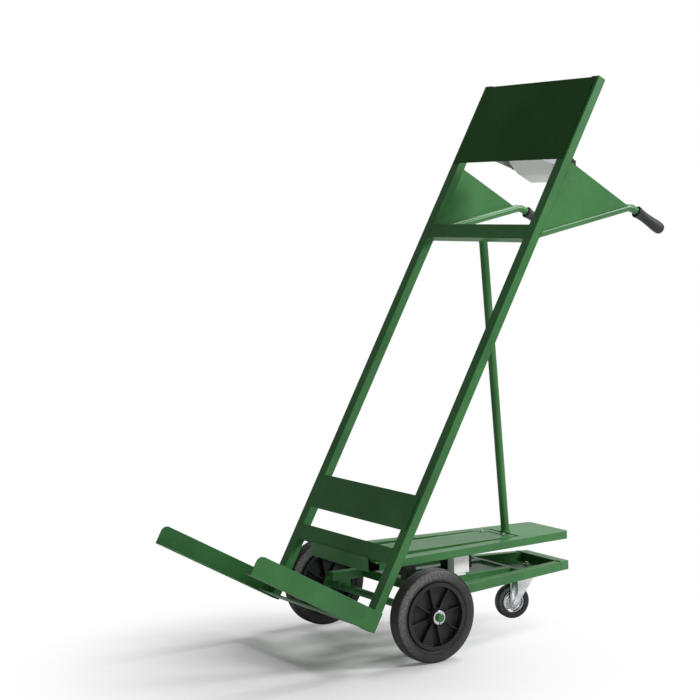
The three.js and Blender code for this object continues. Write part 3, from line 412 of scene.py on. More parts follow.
# Handle tubes: 25 mm steel tube, bent once and welded to the rear of each rail along the gusset's
# long edge. The tube starts on the rail's rear face and runs on inside the grip.
sides = (("left", -1), ("right", 1))
seat_gap = 0.0003
handle_y, handle_radius, bend_reach, bend_steps, tube_around = 0.293, 0.0125, 0.018, 14, 40
handle_foot, handle_bend, handle_tip = np.array(((0.0, 1.348), (0.2905, 1.596), (0.4365, 1.592)))
rise_way = (handle_bend - handle_foot) / np.linalg.norm(handle_bend - handle_foot)
grip_way = (handle_tip - handle_bend) / np.linalg.norm(handle_tip - handle_bend)
ring_lift, ring_weld, ring_ripples, ring_ripple_share = 0.001, 0.0024, 9, 0.15
seam_lift, seam_side, seam_weld = 0.0102, 0.3022, 0.002
seam_start_shares, seam_share = np.arange(0.06, 0.9, 0.12), 0.06


def arc(start, corner, end, steps):
    """A curve from start to end that leans toward the corner: squares and products of the two shares."""
    t = np.linspace(0, 1, steps)[:, None]
    return (1 - t) ** 2 * start + 2 * t * (1 - t) * corner + t ** 2 * end


bend_ends = handle_bend - bend_reach * rise_way, handle_bend + bend_reach * grip_way
bend_curve = arc(bend_ends[0], handle_bend, bend_ends[1], bend_steps)
handle_path = np.concatenate([handle_foot[None], bend_curve, handle_tip[None]])
rise = leaning(rise_way[0], 0, rise_way[1]) - foot
for name, side in sides:
    middle = leaning(handle_path[:, 0], side * handle_y, handle_path[:, 1])
    places, faces = swept(middle, np.full(len(middle), handle_radius), tube_around)
    first = places[:tube_around]
    short = seat_gap - (first - foot) @ back_way
    places[:tube_around] = first + (short / rise_way[0])[:, None] * rise
    tube = mesh_piece(f"{name}_handle_skin", places, faces)
    show(tube, *sprayed, f"{name}_handle_tube")

handle_beads = []
for name, side in sides:
    turn = np.linspace(0, 2 * np.pi, tube_around)
    ring_up = handle_foot[1] + handle_radius / rise_way[0] * np.sin(turn)
    ring = leaning(ring_lift, side * handle_y + handle_radius * np.cos(turn), ring_up)
    ripple = ring_weld * (1 + ring_ripple_share * np.sin(turn * ring_ripples))
    handle_beads.append(swept(ring, ripple, weld_around, back_way))
    for share in seam_start_shares:
        lift = seam_lift * np.array((-rise_way[1], rise_way[0]))
        spots = [handle_foot + (handle_bend - handle_foot) * s + lift for s in (share, share + seam_share)]
        ends = [leaning(back, side * seam_side, up) for back, up in spots]
        handle_beads.append(bead(*ends, seam_weld))
joined("handle_welds", handle_beads, *sprayed)


# Grips: moulded black rubber pushed over the tube ends, with a flared collar, a waist for the
# palm and a bulb that closes the end. The surface has a fine sanded grain and worn high spots.
arc_most_share = 0.45
grip_setback, grip_length, grip_bore, grip_round, grip_around = 0.030, 0.126, 0.0128, 0.012, 72
grip_length_shares = [
    (0, 1), (0.00975, 1), (0.0166, 0.961), (0.0195, 0.907), (0.0195, 0.72), (0.0175, 0.55), (0.0165, 0.3),
    (0.0175, 0.12), (0.020, 0.06), (0.020, 0), (grip_bore, 0), (grip_bore, 0.9), (0, 0.9),
]


def lathe(profile, centre, axis, around):
    """Rings about an axis: each radius and height of the profile carried round the centre."""
    axis = np.asarray(axis, float) / np.linalg.norm(axis)
    helper = np.array((0.0, 0.0, 1.0)) if abs(axis[2]) < 0.9 else np.array((1.0, 0.0, 0.0))
    first = np.cross(helper, axis)
    first /= np.linalg.norm(first)
    second = np.cross(axis, first)
    angle = np.linspace(0, 2 * np.pi, around, endpoint=False)
    turn = np.cos(angle)[:, None] * first + np.sin(angle)[:, None] * second
    profile = np.asarray(profile, float)
    rings = profile[:, 0, None, None] * turn[None] + profile[:, 1, None, None] * axis
    return (np.asarray(centre, float) + rings).reshape(-1, 3), skin(len(profile), around)


def softened(points, radius, steps=4, closed=False):
    """The same outline with each corner replaced by a short arc of about the given radius."""
    points = np.asarray(points, float)
    count = len(points)
    result = [] if closed else [points[:1]]
    for i in range(0 if closed else 1, count if closed else count - 1):
        here = points[i]
        ends = []
        for other in (points[i - 1], points[(i + 1) % count]):
            gap = np.linalg.norm(other - here)
            ends.append(here + (other - here) / gap * min(radius, arc_most_share * gap))
        result.append(arc(ends[0], here, ends[1], steps))
    if not closed:
        result.append(points[-1:])
    rounded = np.concatenate(result)
    return np.concatenate([rounded, rounded[:1]]) if closed else rounded


def rubber(name, base, worn, grain, dust):
    """Moulded rubber: a dark tone, worn high spots, dust in slow patches and a fine grain."""
    skin_finish = Finish(name, Specular_IOR_Level=0.35)
    patch = skin_finish.noise(9, 5)
    fine = skin_finish.noise(grain, 3)
    tone = skin_finish.blend(patch.ramp(0.35, 0.75), ink(base), ink(worn))
    speck = skin_finish.noise(160, 6).ramp(0.58, 0.8) * dust
    skin_finish.feed("Base Color", skin_finish.blend(speck, tone, ink("6a6a68")))
    skin_finish.feed("Roughness", 0.42 + patch * 0.22)
    skin_finish.bump(fine, distance=0.0002, strength=0.6)
    return skin_finish


grip_rubber = rubber("grip_rubber", "232426", "323335", grain=900, dust=0.15)
grip_outline = [(radius, share * grip_length) for radius, share in grip_length_shares]
grip_profile = softened(grip_outline, grip_round, 8)
grip_start = handle_bend + grip_setback * grip_way
grip_axis = leaning(grip_way[0], 0, grip_way[1]) - foot
for name, side in sides:
    centre = leaning(grip_start[0], side * handle_y, grip_start[1])
    grip = mesh_piece(f"{name}_grip_skin", *lathe(grip_profile, centre, grip_axis, grip_around))
    show(grip, grip_rubber, "frame", "grip_rubber", f"{name}_grip")


# Tyres: solid black rubber with round shoulders, three grooves round the tread and a fine rib
# on each side wall. Floor dust greys the side walls, most of all near the tread. A painted sheen
# pales the walls toward the upper front, and a painted highlight pales the tops of the tread.
wheel_y, wheel_radius = 0.318, 0.145
axle_middle = np.array((-truck_shift, 0.0, wheel_radius))
tyre_bore, tyre_half, tyre_around = 0.1048, 0.025, 160
groove_places, groove_half, groove_depth, groove_foot_share = (-0.0095, 0.0, 0.0095), 0.0021, 0.0034, 0.6
wall_shares = ((0.0, 0.88), (0.18, 0.985), (0.24, 1.0), (0.30, 0.975), (0.55, 0.985), (0.8, 0.93),
               (0.94, 0.79), (1.0, 0.62))
# The last two numbers bound the tread's outermost band, which is painted paler: a painted highlight where the
# ridges catch light.
tyre_round_share, tread_highlight_from, tread_highlight_to = 0.06, 0.0014, 0.0004
# Way toward which the painted sheen pales the side walls: up and to the front, where a lamp's highlight would
# fall.
sheen_way = (-0.7, 0, 0.7)


def tyre_outline(bore, radius, half, grooves):
    """Radius and height of a tyre's section: bore, bulged side wall with a rib, shoulder, grooved tread."""
    depth = radius - bore
    wall = [(bore + up * depth, out * half) for up, out in wall_shares]
    tread = []
    for place in grooves:
        low, foot_half = radius - groove_depth, groove_half * groove_foot_share
        tread += [(radius, place - groove_half), (low, place - foot_half)]
        tread += [(low, place + foot_half), (radius, place + groove_half)]
    section = [(up, -out) for up, out in wall] + tread + wall[::-1]
    return softened(section, depth * tyre_round_share, 4, True)


def tyre_rubber(name, centre, axis, bore, radius):
    """Solid tyre: black, with mottled dust on a band round the side wall, a painted sheen that pales
    that band toward the upper front where a lamp's highlight would fall, and paler tops between the
    grooves that are a painted highlight where the ridges catch light."""
    finish = Finish(name, Specular_IOR_Level=0.4)
    place = finish.place()
    along = finish.along(place, tuple(axis)) - float(np.dot(centre, axis))
    reach = finish.distance(place, tuple(centre))
    reach = (reach * reach - along * along).power(0.5)
    depth = radius - bore
    band = reach.ramp(bore + 0.12 * depth, bore + 0.4 * depth)
    band = band * (1 - reach.ramp(bore + 0.72 * depth, bore + 0.96 * depth))
    slow = finish.noise(11, 4)
    mottle = finish.noise(190, 5).ramp(0.4, 0.7)
    # Painted sheen: the dusty band pales toward the upper front, to 7c7c7a, standing in for a lamp's
    # highlight on the side wall.
    painted_sheen = finish.along(place, sheen_way) - float(np.dot(centre, sheen_way))
    painted_sheen = painted_sheen.ramp(-0.3 * radius, radius)
    dust = finish.blend(mottle * (0.35 + slow.ramp(0.42, 0.62) * 0.65), ink("222222"), ink("4c4c4b"))
    dust = finish.blend(painted_sheen * (0.3 + mottle * 0.5), dust, ink("7c7c7a"))
    tone = finish.blend(band, finish.blend(slow.ramp(0.35, 0.75), ink("0e0f10"), ink("161617")), dust)
    # Painted highlight: the tops of the tread turn grey (404040) as if catching light, while the grooves stay
    # black.
    worn = reach.ramp(radius - tread_highlight_from, radius - tread_highlight_to)
    finish.feed("Base Color", finish.blend(worn, tone, ink("404040")))
    finish.feed("Roughness", 0.36 + slow * 0.15 + mottle * 0.16)
    finish.bump(finish.noise(500, 3) + mottle * 0.5, distance=0.0002, strength=0.6)
    return finish


wheel_rubber = tyre_rubber("wheel_rubber", axle_middle, across, tyre_bore, wheel_radius)
wheel_outline = tyre_outline(tyre_bore, wheel_radius, tyre_half, groove_places)
for name, side in sides:
    centre = axle_middle + side * wheel_y * across
    tyre = mesh_piece(f"{name}_tyre_skin", *lathe(wheel_outline, centre, across, tyre_around))
    show(tyre, wheel_rubber, f"{name}_wheel", "tyre_rubber", f"{name}_tyre")


# Hubs: moulded black plastic with a rim band, a thin disc, eight waisted ribs on each face and a
# boss that turns straight on the axle.
hub_bore, boss_radius, boss_root, boss_outer, boss_inner = 0.0126, 0.022, 0.027, 0.035, 0.025
rim_inner, rim_radius, rim_half, disc_half, hub_round, hub_around = 0.093, 0.1045, 0.026, 0.004, 0.0012, 128
rib_half, rib_reach, rib_waist, rib_count, rib_turn = 0.0014, 0.020, 0.0165, 8, math.radians(12.5)
rib_sink, rib_steps = 0.001, 14
rib_section_shares = np.array(((-1, -0.96), (-0.7, -1), (0.7, -1), (1, -0.96), (1, 0.96), (0.7, 1), (-0.7, 1),
                               (-1, 0.96)))
hub_plastic = Finish("hub_plastic", Specular_IOR_Level=0.4)
hub_tone = hub_plastic.noise(14, 4)
hub_plastic.feed("Base Color", hub_plastic.blend(hub_tone.ramp(0.35, 0.7), ink("141516"), ink("1e1f21")))
hub_plastic.feed("Roughness", 0.38 + hub_tone * 0.2)
hub_plastic.bump(hub_plastic.noise(700, 2), distance=0.0001, strength=0.5)


def hub_rib(centre, angle):
    """A rib from boss to rim: its section's places times its half width and its reach, which narrows
    in the middle by a square, carried outward along the angle."""
    along = np.linspace(0, 1, rib_steps)
    radius = boss_radius - rib_sink + along * (rim_inner - boss_radius + 2 * rib_sink)
    reach = rib_waist + (rib_reach - rib_waist) * (2 * along - 1) ** 2
    outward = np.multiply.outer(radius, (math.cos(angle), 0, math.sin(angle)))[:, None]
    thin = np.multiply.outer(rib_section_shares[:, 0] * rib_half, (-math.sin(angle), 0, math.cos(angle)))
    broad = reach[:, None, None] * rib_section_shares[None, :, 1, None] * across
    return centre + outward + thin + broad, skin(rib_steps, len(rib_section_shares))


for name, side in sides:
    low, high = sorted((side * boss_outer, -side * boss_inner))
    section = [(hub_bore, low), (boss_radius, low), (boss_root, -disc_half), (rim_inner, -disc_half),
               (rim_inner, -rim_half), (rim_radius, -rim_half), (rim_radius, rim_half), (rim_inner, rim_half),
               (rim_inner, disc_half), (boss_root, disc_half), (boss_radius, high), (hub_bore, high)]
    centre = axle_middle + side * wheel_y * across
    parts = [lathe(softened(section, hub_round, 4, True), centre, across, hub_around)]
    parts += [hub_rib(centre, i / rib_count * 2 * np.pi + rib_turn) for i in range(rib_count)]
    joined(f"{name}_hub_skin", parts, hub_plastic, f"{name}_wheel", "black_plastic", f"{name}_hub")


# Axle: one solid bar sprayed green with the chassis, with chamfered ends and a welded collar
# inside each wheel. A slit zinc ring outside each hub keeps the wheel on.
axle_radius, axle_end, axle_chamfer, axle_round, axle_around = 0.0125, 0.366, 0.0015, 0.0006, 72
collar_radius, collar_low, collar_high = 0.020, 0.2867, 0.2927
ring_inner, ring_outer, ring_low, ring_high = 0.0126, 0.0215, 0.3533, 0.3563
ring_slit, ring_round, ring_steps = 0.002, 0.0008, 97
axle_half = [(axle_radius, collar_low), (collar_radius, collar_low), (collar_radius, collar_high),
             (axle_radius, collar_high), (axle_radius, axle_end - axle_chamfer),
             (axle_radius - axle_chamfer, axle_end), (0, axle_end)]
axle_profile = softened([(r, -h) for r, h in reversed(axle_half)] + axle_half, axle_round, 3)
axle = mesh_piece("axle_skin", *lathe(axle_profile, axle_middle, across, axle_around))
show(axle, *sprayed, "axle")


def metal(name, base, deep, rough, stretch=(1, 1, 1), scale=300):
    """Bright metal: two tones in slow clouds, with a grain that a stretch draws out along one way."""
    bright = Finish(name, Metallic=1.0)
    cloud = bright.noise(30, 4)
    grain = bright.noise(scale, 4, bright.stretched(stretch))
    bright.feed("Base Color", bright.blend(cloud.ramp(0.3, 0.75), ink(base), ink(deep)))
    bright.feed("Roughness", rough + grain * 0.18)
    bright.bump(grain, distance=0.00006, strength=0.5)
    return bright


zinc = metal("zinc_plate", "dfe2e4", "b9bec2", rough=0.2)
plated = (zinc, "frame", "zinc")
ring_section = softened([(ring_inner, ring_low), (ring_outer, ring_low), (ring_outer, ring_high),
                         (ring_inner, ring_high)], ring_round, 4, True)[:-1]
ring_wide = len(ring_section)
ring_gap = ring_slit / ring_outer
ring_angle = np.linspace(ring_gap, 2 * np.pi - ring_gap, ring_steps) - np.pi / 2
ring_turn = np.stack([np.cos(ring_angle), np.zeros(ring_steps), np.sin(ring_angle)], 1)
ring_caps = [list(range(row * ring_wide, (row + 1) * ring_wide)) for row in (0, ring_steps - 1)]
for name, side in sides:
    thick = side * ring_section[None, :, 1, None] * across
    places = (axle_middle + ring_section[None, :, 0, None] * ring_turn[:, None] + thick).reshape(-1, 3)
    keeper = mesh_piece(f"{name}_ring_skin", places, list(skin(ring_steps, ring_wide)) + ring_caps)
    show(keeper, *plated, f"{name}_axle_ring")


# Deck: a level platform of two tapering tubes and folded plate, with a pan at the rear and a tray
# whose middle is pressed down a little. It is carried on the load cells and sprayed with the frame.
deck_edges = {
    "deck_front_seat": 0.0018, "deck_left_beam": 0.0022, "deck_right_beam": 0.0022,
    "deck_rear_plate": 0.0018, "deck_cross_beam": 0.001, "deck_tray": 0.0008,
}
eased_each(deck_edges, *sprayed)

deck_top, deck_half_rear, deck_taper, deck_beam_width = 0.297, 0.107, 0.08, 0.040
deck_front_x, deck_seam_x, deck_rear_x = (x - truck_shift for x in (-0.095, 0.505, 0.702))
front_weld_in, front_weld_out, front_weld = 0.038, 0.004, 0.0022
seam_low, seam_sink, deck_seam_weld = 0.2725, 0.0021, 0.0026
level_way = (0, 0, 1)


def deck_half(x):
    """Half the deck's width at a place along the truck."""
    return deck_half_rear + deck_taper * (deck_rear_x - x)


deck_beads = []
for side in (-1, 1):
    fronts = [(deck_front_x, side * (deck_half(deck_front_x) - inset), deck_top)
              for inset in (front_weld_in, front_weld_out)]
    deck_beads.append(bead(*fronts, front_weld, level_way))
    seam_in, seam_out = (side * (deck_half(deck_seam_x) - inset) for inset in (deck_beam_width, seam_sink))
    corner = (deck_seam_x, seam_out, deck_top - seam_sink)
    deck_beads.append(bead((deck_seam_x, seam_out, seam_low), corner, deck_seam_weld))
    deck_beads.append(bead((deck_seam_x, seam_in, deck_top - seam_sink), corner, deck_seam_weld, level_way))
joined("deck_welds", deck_beads, *sprayed)


# Bolts: zinc hexagon heads on thin washers, two in the rear border of the tray where it is
# screwed down to the deck's cross beam.
bolt_radius, bolt_height, washer_radius, washer_thick, washer_round = 0.0062, 0.006, 0.0093, 0.0009, 0.0003
head_chamfer_shares = ((1, 0.8), (0.86, 1))
bolt_places = [(0.470 - truck_shift, 0.067, deck_top), (0.493 - truck_shift, -0.024, deck_top)]
washer_profile = softened([(0, 0), (washer_radius, 0), (washer_radius, washer_thick), (0, washer_thick)],
                          washer_round)
head_profile = [(0, washer_thick), (bolt_radius, washer_thick)]
head_profile += [(bolt_radius * r, bolt_height * h) for r, h in head_chamfer_shares] + [(0, bolt_height)]
bolts = []
for place in bolt_places:
    bolts += [lathe(washer_profile, place, level_way, 40), lathe(head_profile, place, level_way, 6)]
joined("deck_bolts", bolts, *plated, smooth=False)


# Strut: round tube that stands on the deck and props the upper cross beam, with a pressed foot
# flange and a ring of weld at both ends.
strut_radius, strut_around, flange_around = 0.014, 48, 64
strut_level = 1.341
strut_foot, strut_head = np.array((0.518 - truck_shift, 0.0, deck_top)), leaning(0, 0, strut_level)
flange_radius, flange_top, flange_low = 0.017, 0.005, 0.004
flange_chamfer, flange_round = 0.0008, 0.0008
foot_weld, foot_ring, foot_level, foot_steps = 0.0021, 0.0145, 0.0058, 60
head_weld_share, strut_ripples = 1.1, 11
strut_way = (strut_head - strut_foot) / np.linalg.norm(strut_head - strut_foot)
lean_cut = (seat_gap - (strut_foot - foot) @ back_way) / (strut_way @ back_way)
strut_path = np.array([strut_foot, strut_foot + lean_cut * strut_way])
places, faces = swept(strut_path, np.full(2, strut_radius), strut_around)
low, high = places[:strut_around], places[strut_around:]
low += ((deck_top + seat_gap - low[:, 2]) / strut_way[2])[:, None] * strut_way
high += ((seat_gap - (high - foot) @ back_way) / (strut_way @ back_way))[:, None] * strut_way
flange_section = [(0, 0), (flange_radius, 0), (flange_radius, flange_low),
                  (flange_radius - flange_chamfer, flange_top), (0, flange_top)]
flange_foot = strut_foot + np.array((0, 0, seat_gap))
flange = lathe(softened(flange_section, flange_round), flange_foot, level_way, flange_around)
strut_parts = [(np.concatenate([low, high]), faces), flange]
joined("strut_skin", strut_parts, *sprayed, "rear_strut")
turn = np.linspace(0, 2 * np.pi, foot_steps)
ring = np.stack([np.cos(turn), np.sin(turn), np.zeros(foot_steps)], 1) * foot_ring
ripple = foot_weld * (1 + ripple_share * np.sin(turn * strut_ripples))
head_ring = high[np.r_[np.arange(strut_around), 0]]
strut_beads = [
    swept(strut_foot + np.array((0, 0, foot_level)) + ring, ripple, weld_around, level_way),
    swept(head_ring, ripple[:len(head_ring)] * head_weld_share, weld_around, back_way),
]
joined("strut_welds", strut_beads, *sprayed)


# Chassis: a lower frame of bent and tapering tube with cross beams, a slotted carrier for the
# load cells and a floor plate for the caster, all sprayed green.
chassis_edges = {
    "chassis_left_beam": 0.0026, "chassis_right_beam": 0.0026, "chassis_front_beam": 0.0026,
    "chassis_middle_beam": 0.0018, "chassis_rear_beam": 0.0022, "cell_carrier": 0.0012,
    "caster_floor": 0.0006,
}
eased_each(chassis_edges, *sprayed)

chassis_top, chassis_rear_half, chassis_taper, chassis_width = 0.199, 0.114, 0.225, 0.03
chassis_bend_x, chassis_corner_x, chassis_rear_x = (x - truck_shift for x in (0.230, 0.655, 0.695))
cross_weld_places, cross_weld = ((0.076, 0.116), (0.465, 0.482)), 0.0024
floor_weld_places, floor_weld_length, floor_weld = (0.50, 0.56, 0.61), 0.03, 0.0022
floor_weld_level, floor_weld_sink = 0.1735, 0.001


def chassis_inner(x):
    """Where the inner face of a side beam lies at a place along the truck."""
    outer = chassis_rear_half + chassis_taper * (chassis_rear_x - max(x, chassis_bend_x))
    return outer - chassis_width - seat_gap


chassis_beads = []
for side in (-1, 1):
    for places in cross_weld_places:
        ends = [(x - truck_shift, side * chassis_inner(x - truck_shift), chassis_top) for x in places]
        chassis_beads.append(bead(*ends, cross_weld, level_way))
    inner = chassis_inner(chassis_corner_x)
    ends = [(chassis_corner_x, side * y, chassis_top) for y in (inner, inner + chassis_width)]
    chassis_beads.append(bead(*ends, cross_weld, level_way))
    for low in floor_weld_places:
        ends = [(x, side * (chassis_inner(x) - floor_weld_sink), floor_weld_level)
                for x in (low - truck_shift, low + floor_weld_length - truck_shift)]
        chassis_beads.append(bead(*ends, floor_weld, level_way))
joined("chassis_welds", chassis_beads, *sprayed)


# Load cells: machined bars with two eyes and a slot between them, sprayed satin black and
# clamped between the carrier and the tray.
cell_edges = {"front_load_cell": 0.001, "rear_load_cell": 0.001}
black_paint = Finish("black_paint", Coat_Weight=0.15, Specular_IOR_Level=0.35)
cell_tone = black_paint.noise(25, 4)
black_paint.feed("Base Color", black_paint.blend(cell_tone.ramp(0.3, 0.7), ink("101112"), ink("1d1e20")))
black_paint.feed("Roughness", 0.4 + cell_tone * 0.2)
black_paint.bump(black_paint.noise(500, 2), distance=0.00008, strength=0.5)
eased_each(cell_edges, black_paint, "frame", "black_paint")


# Junction box: a moulded pale plastic box on two feet, where the cells' wires would meet, with
# a lid held by four small screws at its rear.
def moulded(name, base, shade, grain):
    """Moulded plastic: a pale tone with slow shade, a fine spark-eroded grain and a satin skin."""
    shell = Finish(name, Specular_IOR_Level=0.4)
    slow = shell.noise(6, 4)
    fine = shell.noise(grain, 2)
    shell.feed("Base Color", shell.blend(slow.ramp(0.35, 0.75) * 0.6, ink(base), ink(shade)))
    shell.feed("Roughness", 0.42 + slow * 0.12)
    shell.bump(fine, distance=0.00008, strength=0.5)
    return shell


box_edge = 0.0018
box_plastic = moulded("box_plastic", "fafaf8", "f2f2ef", grain=1400)
for node in ("junction_box_base", "junction_box_lid"):
    eased(node, box_plastic, "frame", "pale_plastic", box_edge, 4)
lid_x, lid_y, lid_z, lid_screw_y = 0.2948 - truck_shift, -0.0825, 0.2325, 0.01332
lid_screw_low, lid_screw_high = 0.0215, 0.0225
lid_screw_section = [(0, 0.0), (0.0024, 0.0), (0.0024, 0.0004), (0.0019, 0.0009), (0, 0.0011)]
lid_screws = [lathe(lid_screw_section, (lid_x, y, z), (1, 0, 0), 24)
              for y in (lid_y - lid_screw_y, lid_y + lid_screw_y)
              for z in (lid_z - lid_screw_low, lid_z + lid_screw_high)]
joined("lid_screws", lid_screws, *plated)


# Caster: a zinc-plated swivel with a pressed fork, a steel disc wheel with a black tyre and a
# hexagon bolt for an axle, held to the floor plate by one stud and nut.
swivel = np.array((0.605 - truck_shift, 0.0, 0.0))
caster_turn = math.radians(-14)
trail_way = np.array((math.cos(caster_turn), math.sin(caster_turn), 0.0))
caster_axis = np.array((-math.sin(caster_turn), math.cos(caster_turn), 0.0))
caster_trail, caster_radius, caster_bore, caster_half = 0.055, 0.0575, 0.0363, 0.018
caster_centre = swivel - caster_trail * trail_way + np.array((0, 0, caster_radius))
mount_edges, fork_edges = {"caster_mount": 0.0007}, {"caster_fork": 0.0008, "caster_axle_bolt": 0.0007}
eased_each(mount_edges, *plated)
eased_each(fork_edges, zinc, "caster_fork", "zinc")

fork_outer, crown_level, strip_half, strip_sink = 0.0255, 0.148, 0.0115, 0.0005
strip_rise, strip_bevel, strip_steps = 0.002, 0.0012, 19
strip_rings = ((0, -strip_sink), (0, strip_rise - strip_bevel), (strip_bevel, strip_rise),
               (strip_half, strip_rise))
strip_top = crown_level - caster_radius
turn = np.linspace(np.pi, 2 * np.pi, strip_steps)
strip_end = np.stack([strip_half * np.cos(turn), strip_half * np.sin(turn)], 1)
strip_outline = np.concatenate([strip_end, [(strip_half, strip_top), (-strip_half, strip_top)]])
fork_strips = []
for side in (-1, 1):
    rings = []
    for inset, rise in strip_rings:
        grown = strip_outline * (1 - inset / strip_half)
        grown[-2:, 1] = strip_top
        out = side * (fork_outer + rise) * caster_axis
        rings.append(caster_centre + grown[:, :1] * trail_way + grown[:, 1:] * np.array(level_way) + out)
    fork_strips.append((np.concatenate(rings), skin(len(rings), len(strip_outline))))
joined("fork_strips", fork_strips, zinc, "caster_fork", "zinc")

caster_rubber = tyre_rubber("caster_rubber", caster_centre, caster_axis, caster_bore, caster_radius)
caster_outline = tyre_outline(caster_bore, caster_radius, caster_half, ())
caster_tyre = mesh_piece("caster_tyre_skin", *lathe(caster_outline, caster_centre, caster_axis, 120))
show(caster_tyre, caster_rubber, "caster_wheel", "tyre_rubber", "caster_tyre")
disc_round = 0.0007
disc_half_section = [(0.0061, 0.022), (0.0105, 0.022), (0.012, 0.0205), (0.012, 0.0095), (0.0145, 0.0075),
                     (0.019, 0.0062), (0.0215, 0.0075), (0.024, 0.0062), (0.030, 0.006), (0.0322, 0.0095),
                     (0.0328, 0.0155), (0.036, 0.016)]
disc_section = disc_half_section + [(r, -h) for r, h in reversed(disc_half_section)]
caster_disc = lathe(softened(disc_section, disc_round, 3, True), caster_centre, caster_axis, 96)
show(mesh_piece("caster_hub_skin", *caster_disc), zinc, "caster_wheel", "zinc", "caster_hub")


# Indicator bracket: one bent strip of brushed stainless steel with four screw holes and a wide
# cable hole, held to the panel's back by four pan-head screws.
bracket_level, screw_back, screw_side, screw_up, screw_round = 1.662, -0.0274, 0.07905, 0.0279, 0.0007
steel = metal("brushed_stainless", "c6c8ca", "a3a6a9", rough=0.24, stretch=(1, 0.02, 1), scale=900)
eased("indicator_bracket", steel, "frame", "stainless", sheet_edge)
pan_section = softened([(0, 0), (0.0052, 0), (0.0052, 0.0012), (0.004, 0.0026), (0.0012, 0.003),
                        (0.0012, 0.0018), (0, 0.0018)], screw_round)
pan_screws = [lathe(pan_section, leaning(screw_back, y, bracket_level + up), back_way, 32)
              for y in (-screw_side, screw_side) for up in (-screw_up, screw_up)]
joined("bracket_screws", pan_screws, *plated)


# Indicator case: two grained, off-white shells. A white printed sheet covers the front, with a grey
# border, a grey-blue band behind the keys, and red round the display and each key. Its places are in
# millimetres, to the operator's right and up from the clamp knobs.
metre = 1000
knob = np.array((0.525021, 0.0, 1.519429))
face_tilt = math.radians(41)
face_out = np.array((math.cos(face_tilt), 0.0, math.sin(face_tilt)))
face_up = np.array((-math.sin(face_tilt), 0.0, math.cos(face_tilt)))
face_level, sheet_x, sheet_y, line_x, line_y = 33.2, 105, 56, 104.3, 55.3
band_low, band_high, case_edge = -35, -4.6, 0.0009
display_frame = (-73.6, 67.6, -4.2, 43.2)
key_middle, key_pitch, key_level, key_count, key_ring = -10, 27, -19, 6, 12.4
key_places = [(key_middle + (i - (key_count - 1) / 2) * key_pitch, key_level) for i in range(key_count)]


def facing(x, y, z):
    """Places on the indicator in metres: to the operator's right, up the face and out of it."""
    spread = np.multiply.outer
    return knob + spread(x, across) + spread(y, face_up) + spread(z, face_out)


def face_sockets(finish):
    """How far a point lies right, up and out on the indicator, in millimetres."""
    place = finish.place()
    ways = (across, face_up, face_out)
    return [finish.along(place, tuple(way)) * metre - float(knob @ way) * metre for way in ways]


def inside(right_mm, up_mm, left, rightmost, low, high, soft=0.15):
    """One inside a rectangle of the face, fading to nought over a soft edge."""
    across_mask = (right_mm - left).ramp(-soft, soft) * (rightmost - right_mm).ramp(-soft, soft)
    up_mask = (up_mm - low).ramp(-soft, soft) * (high - up_mm).ramp(-soft, soft)
    return across_mask * up_mask


pale_plastic = moulded("pale_plastic", "efefec", "e3e3de", grain=1400)
front_plastic = moulded("printed_front", "efefec", "e3e3de", grain=1400)
right_mm, up_mm, out_mm = face_sockets(front_plastic)
on_face = out_mm.over(face_level)
sheet_mask = inside(right_mm, up_mm, -sheet_x, sheet_x, -sheet_y, sheet_y) * on_face
line_mask = sheet_mask * (1 - inside(right_mm, up_mm, -line_x, line_x, -line_y, line_y))
band_mask = inside(right_mm, up_mm, -line_x, line_x, band_low, band_high) * on_face
border_mask = inside(right_mm, up_mm, *display_frame) * on_face
ring_mask = None
for key_x, key_y in key_places:
    across_key = right_mm - key_x
    up_key = up_mm - key_y
    ring = (across_key * across_key + up_key * up_key).power(0.5).under(key_ring)
    ring_mask = ring if ring_mask is None else ring_mask.most(ring)
slow_shade = front_plastic.noise(5, 3).ramp(0.3, 0.8)
face_tone = front_plastic.blend(slow_shade * 0.5, ink("efefec"), ink("e3e3de"))
face_tone = front_plastic.blend(sheet_mask, face_tone, ink("f1f2f5"))
face_tone = front_plastic.blend(line_mask * 0.8, face_tone, ink("8b9097"))
face_tone = front_plastic.blend(band_mask, face_tone, ink("5c6c82"))
face_tone = front_plastic.blend(border_mask, face_tone, ink("c4331d"))
face_tone = front_plastic.blend(ring_mask * on_face, face_tone, ink("a04a58"))
front_plastic.feed("Base Color", face_tone)
eased("indicator_front_shell", front_plastic, "indicator_case", "pale_plastic", case_edge)
eased("indicator_rear_shell", pale_plastic, "indicator_case", "pale_plastic", case_edge)


# Inside the case: a green circuit board with its display block, and a black battery block.
# Neither shows while the two shells are closed.
board_edge, battery_edge = 0.0002, 0.0015
board = Finish("circuit_board", Roughness=0.4)
tracks = board.noise(260, 1).ramp(0.5, 0.53)
board.feed("Base Color", board.blend(tracks * 0.6, ink("1d5a3a"), ink("2c7a4e")))
eased("indicator_circuit_board", board, "indicator_case", "board", board_edge, 2)
battery_skin = moulded("battery_skin", "1b1c1e", "242527", grain=900)
eased("indicator_battery", battery_skin, "indicator_case", "black_plastic", battery_edge)


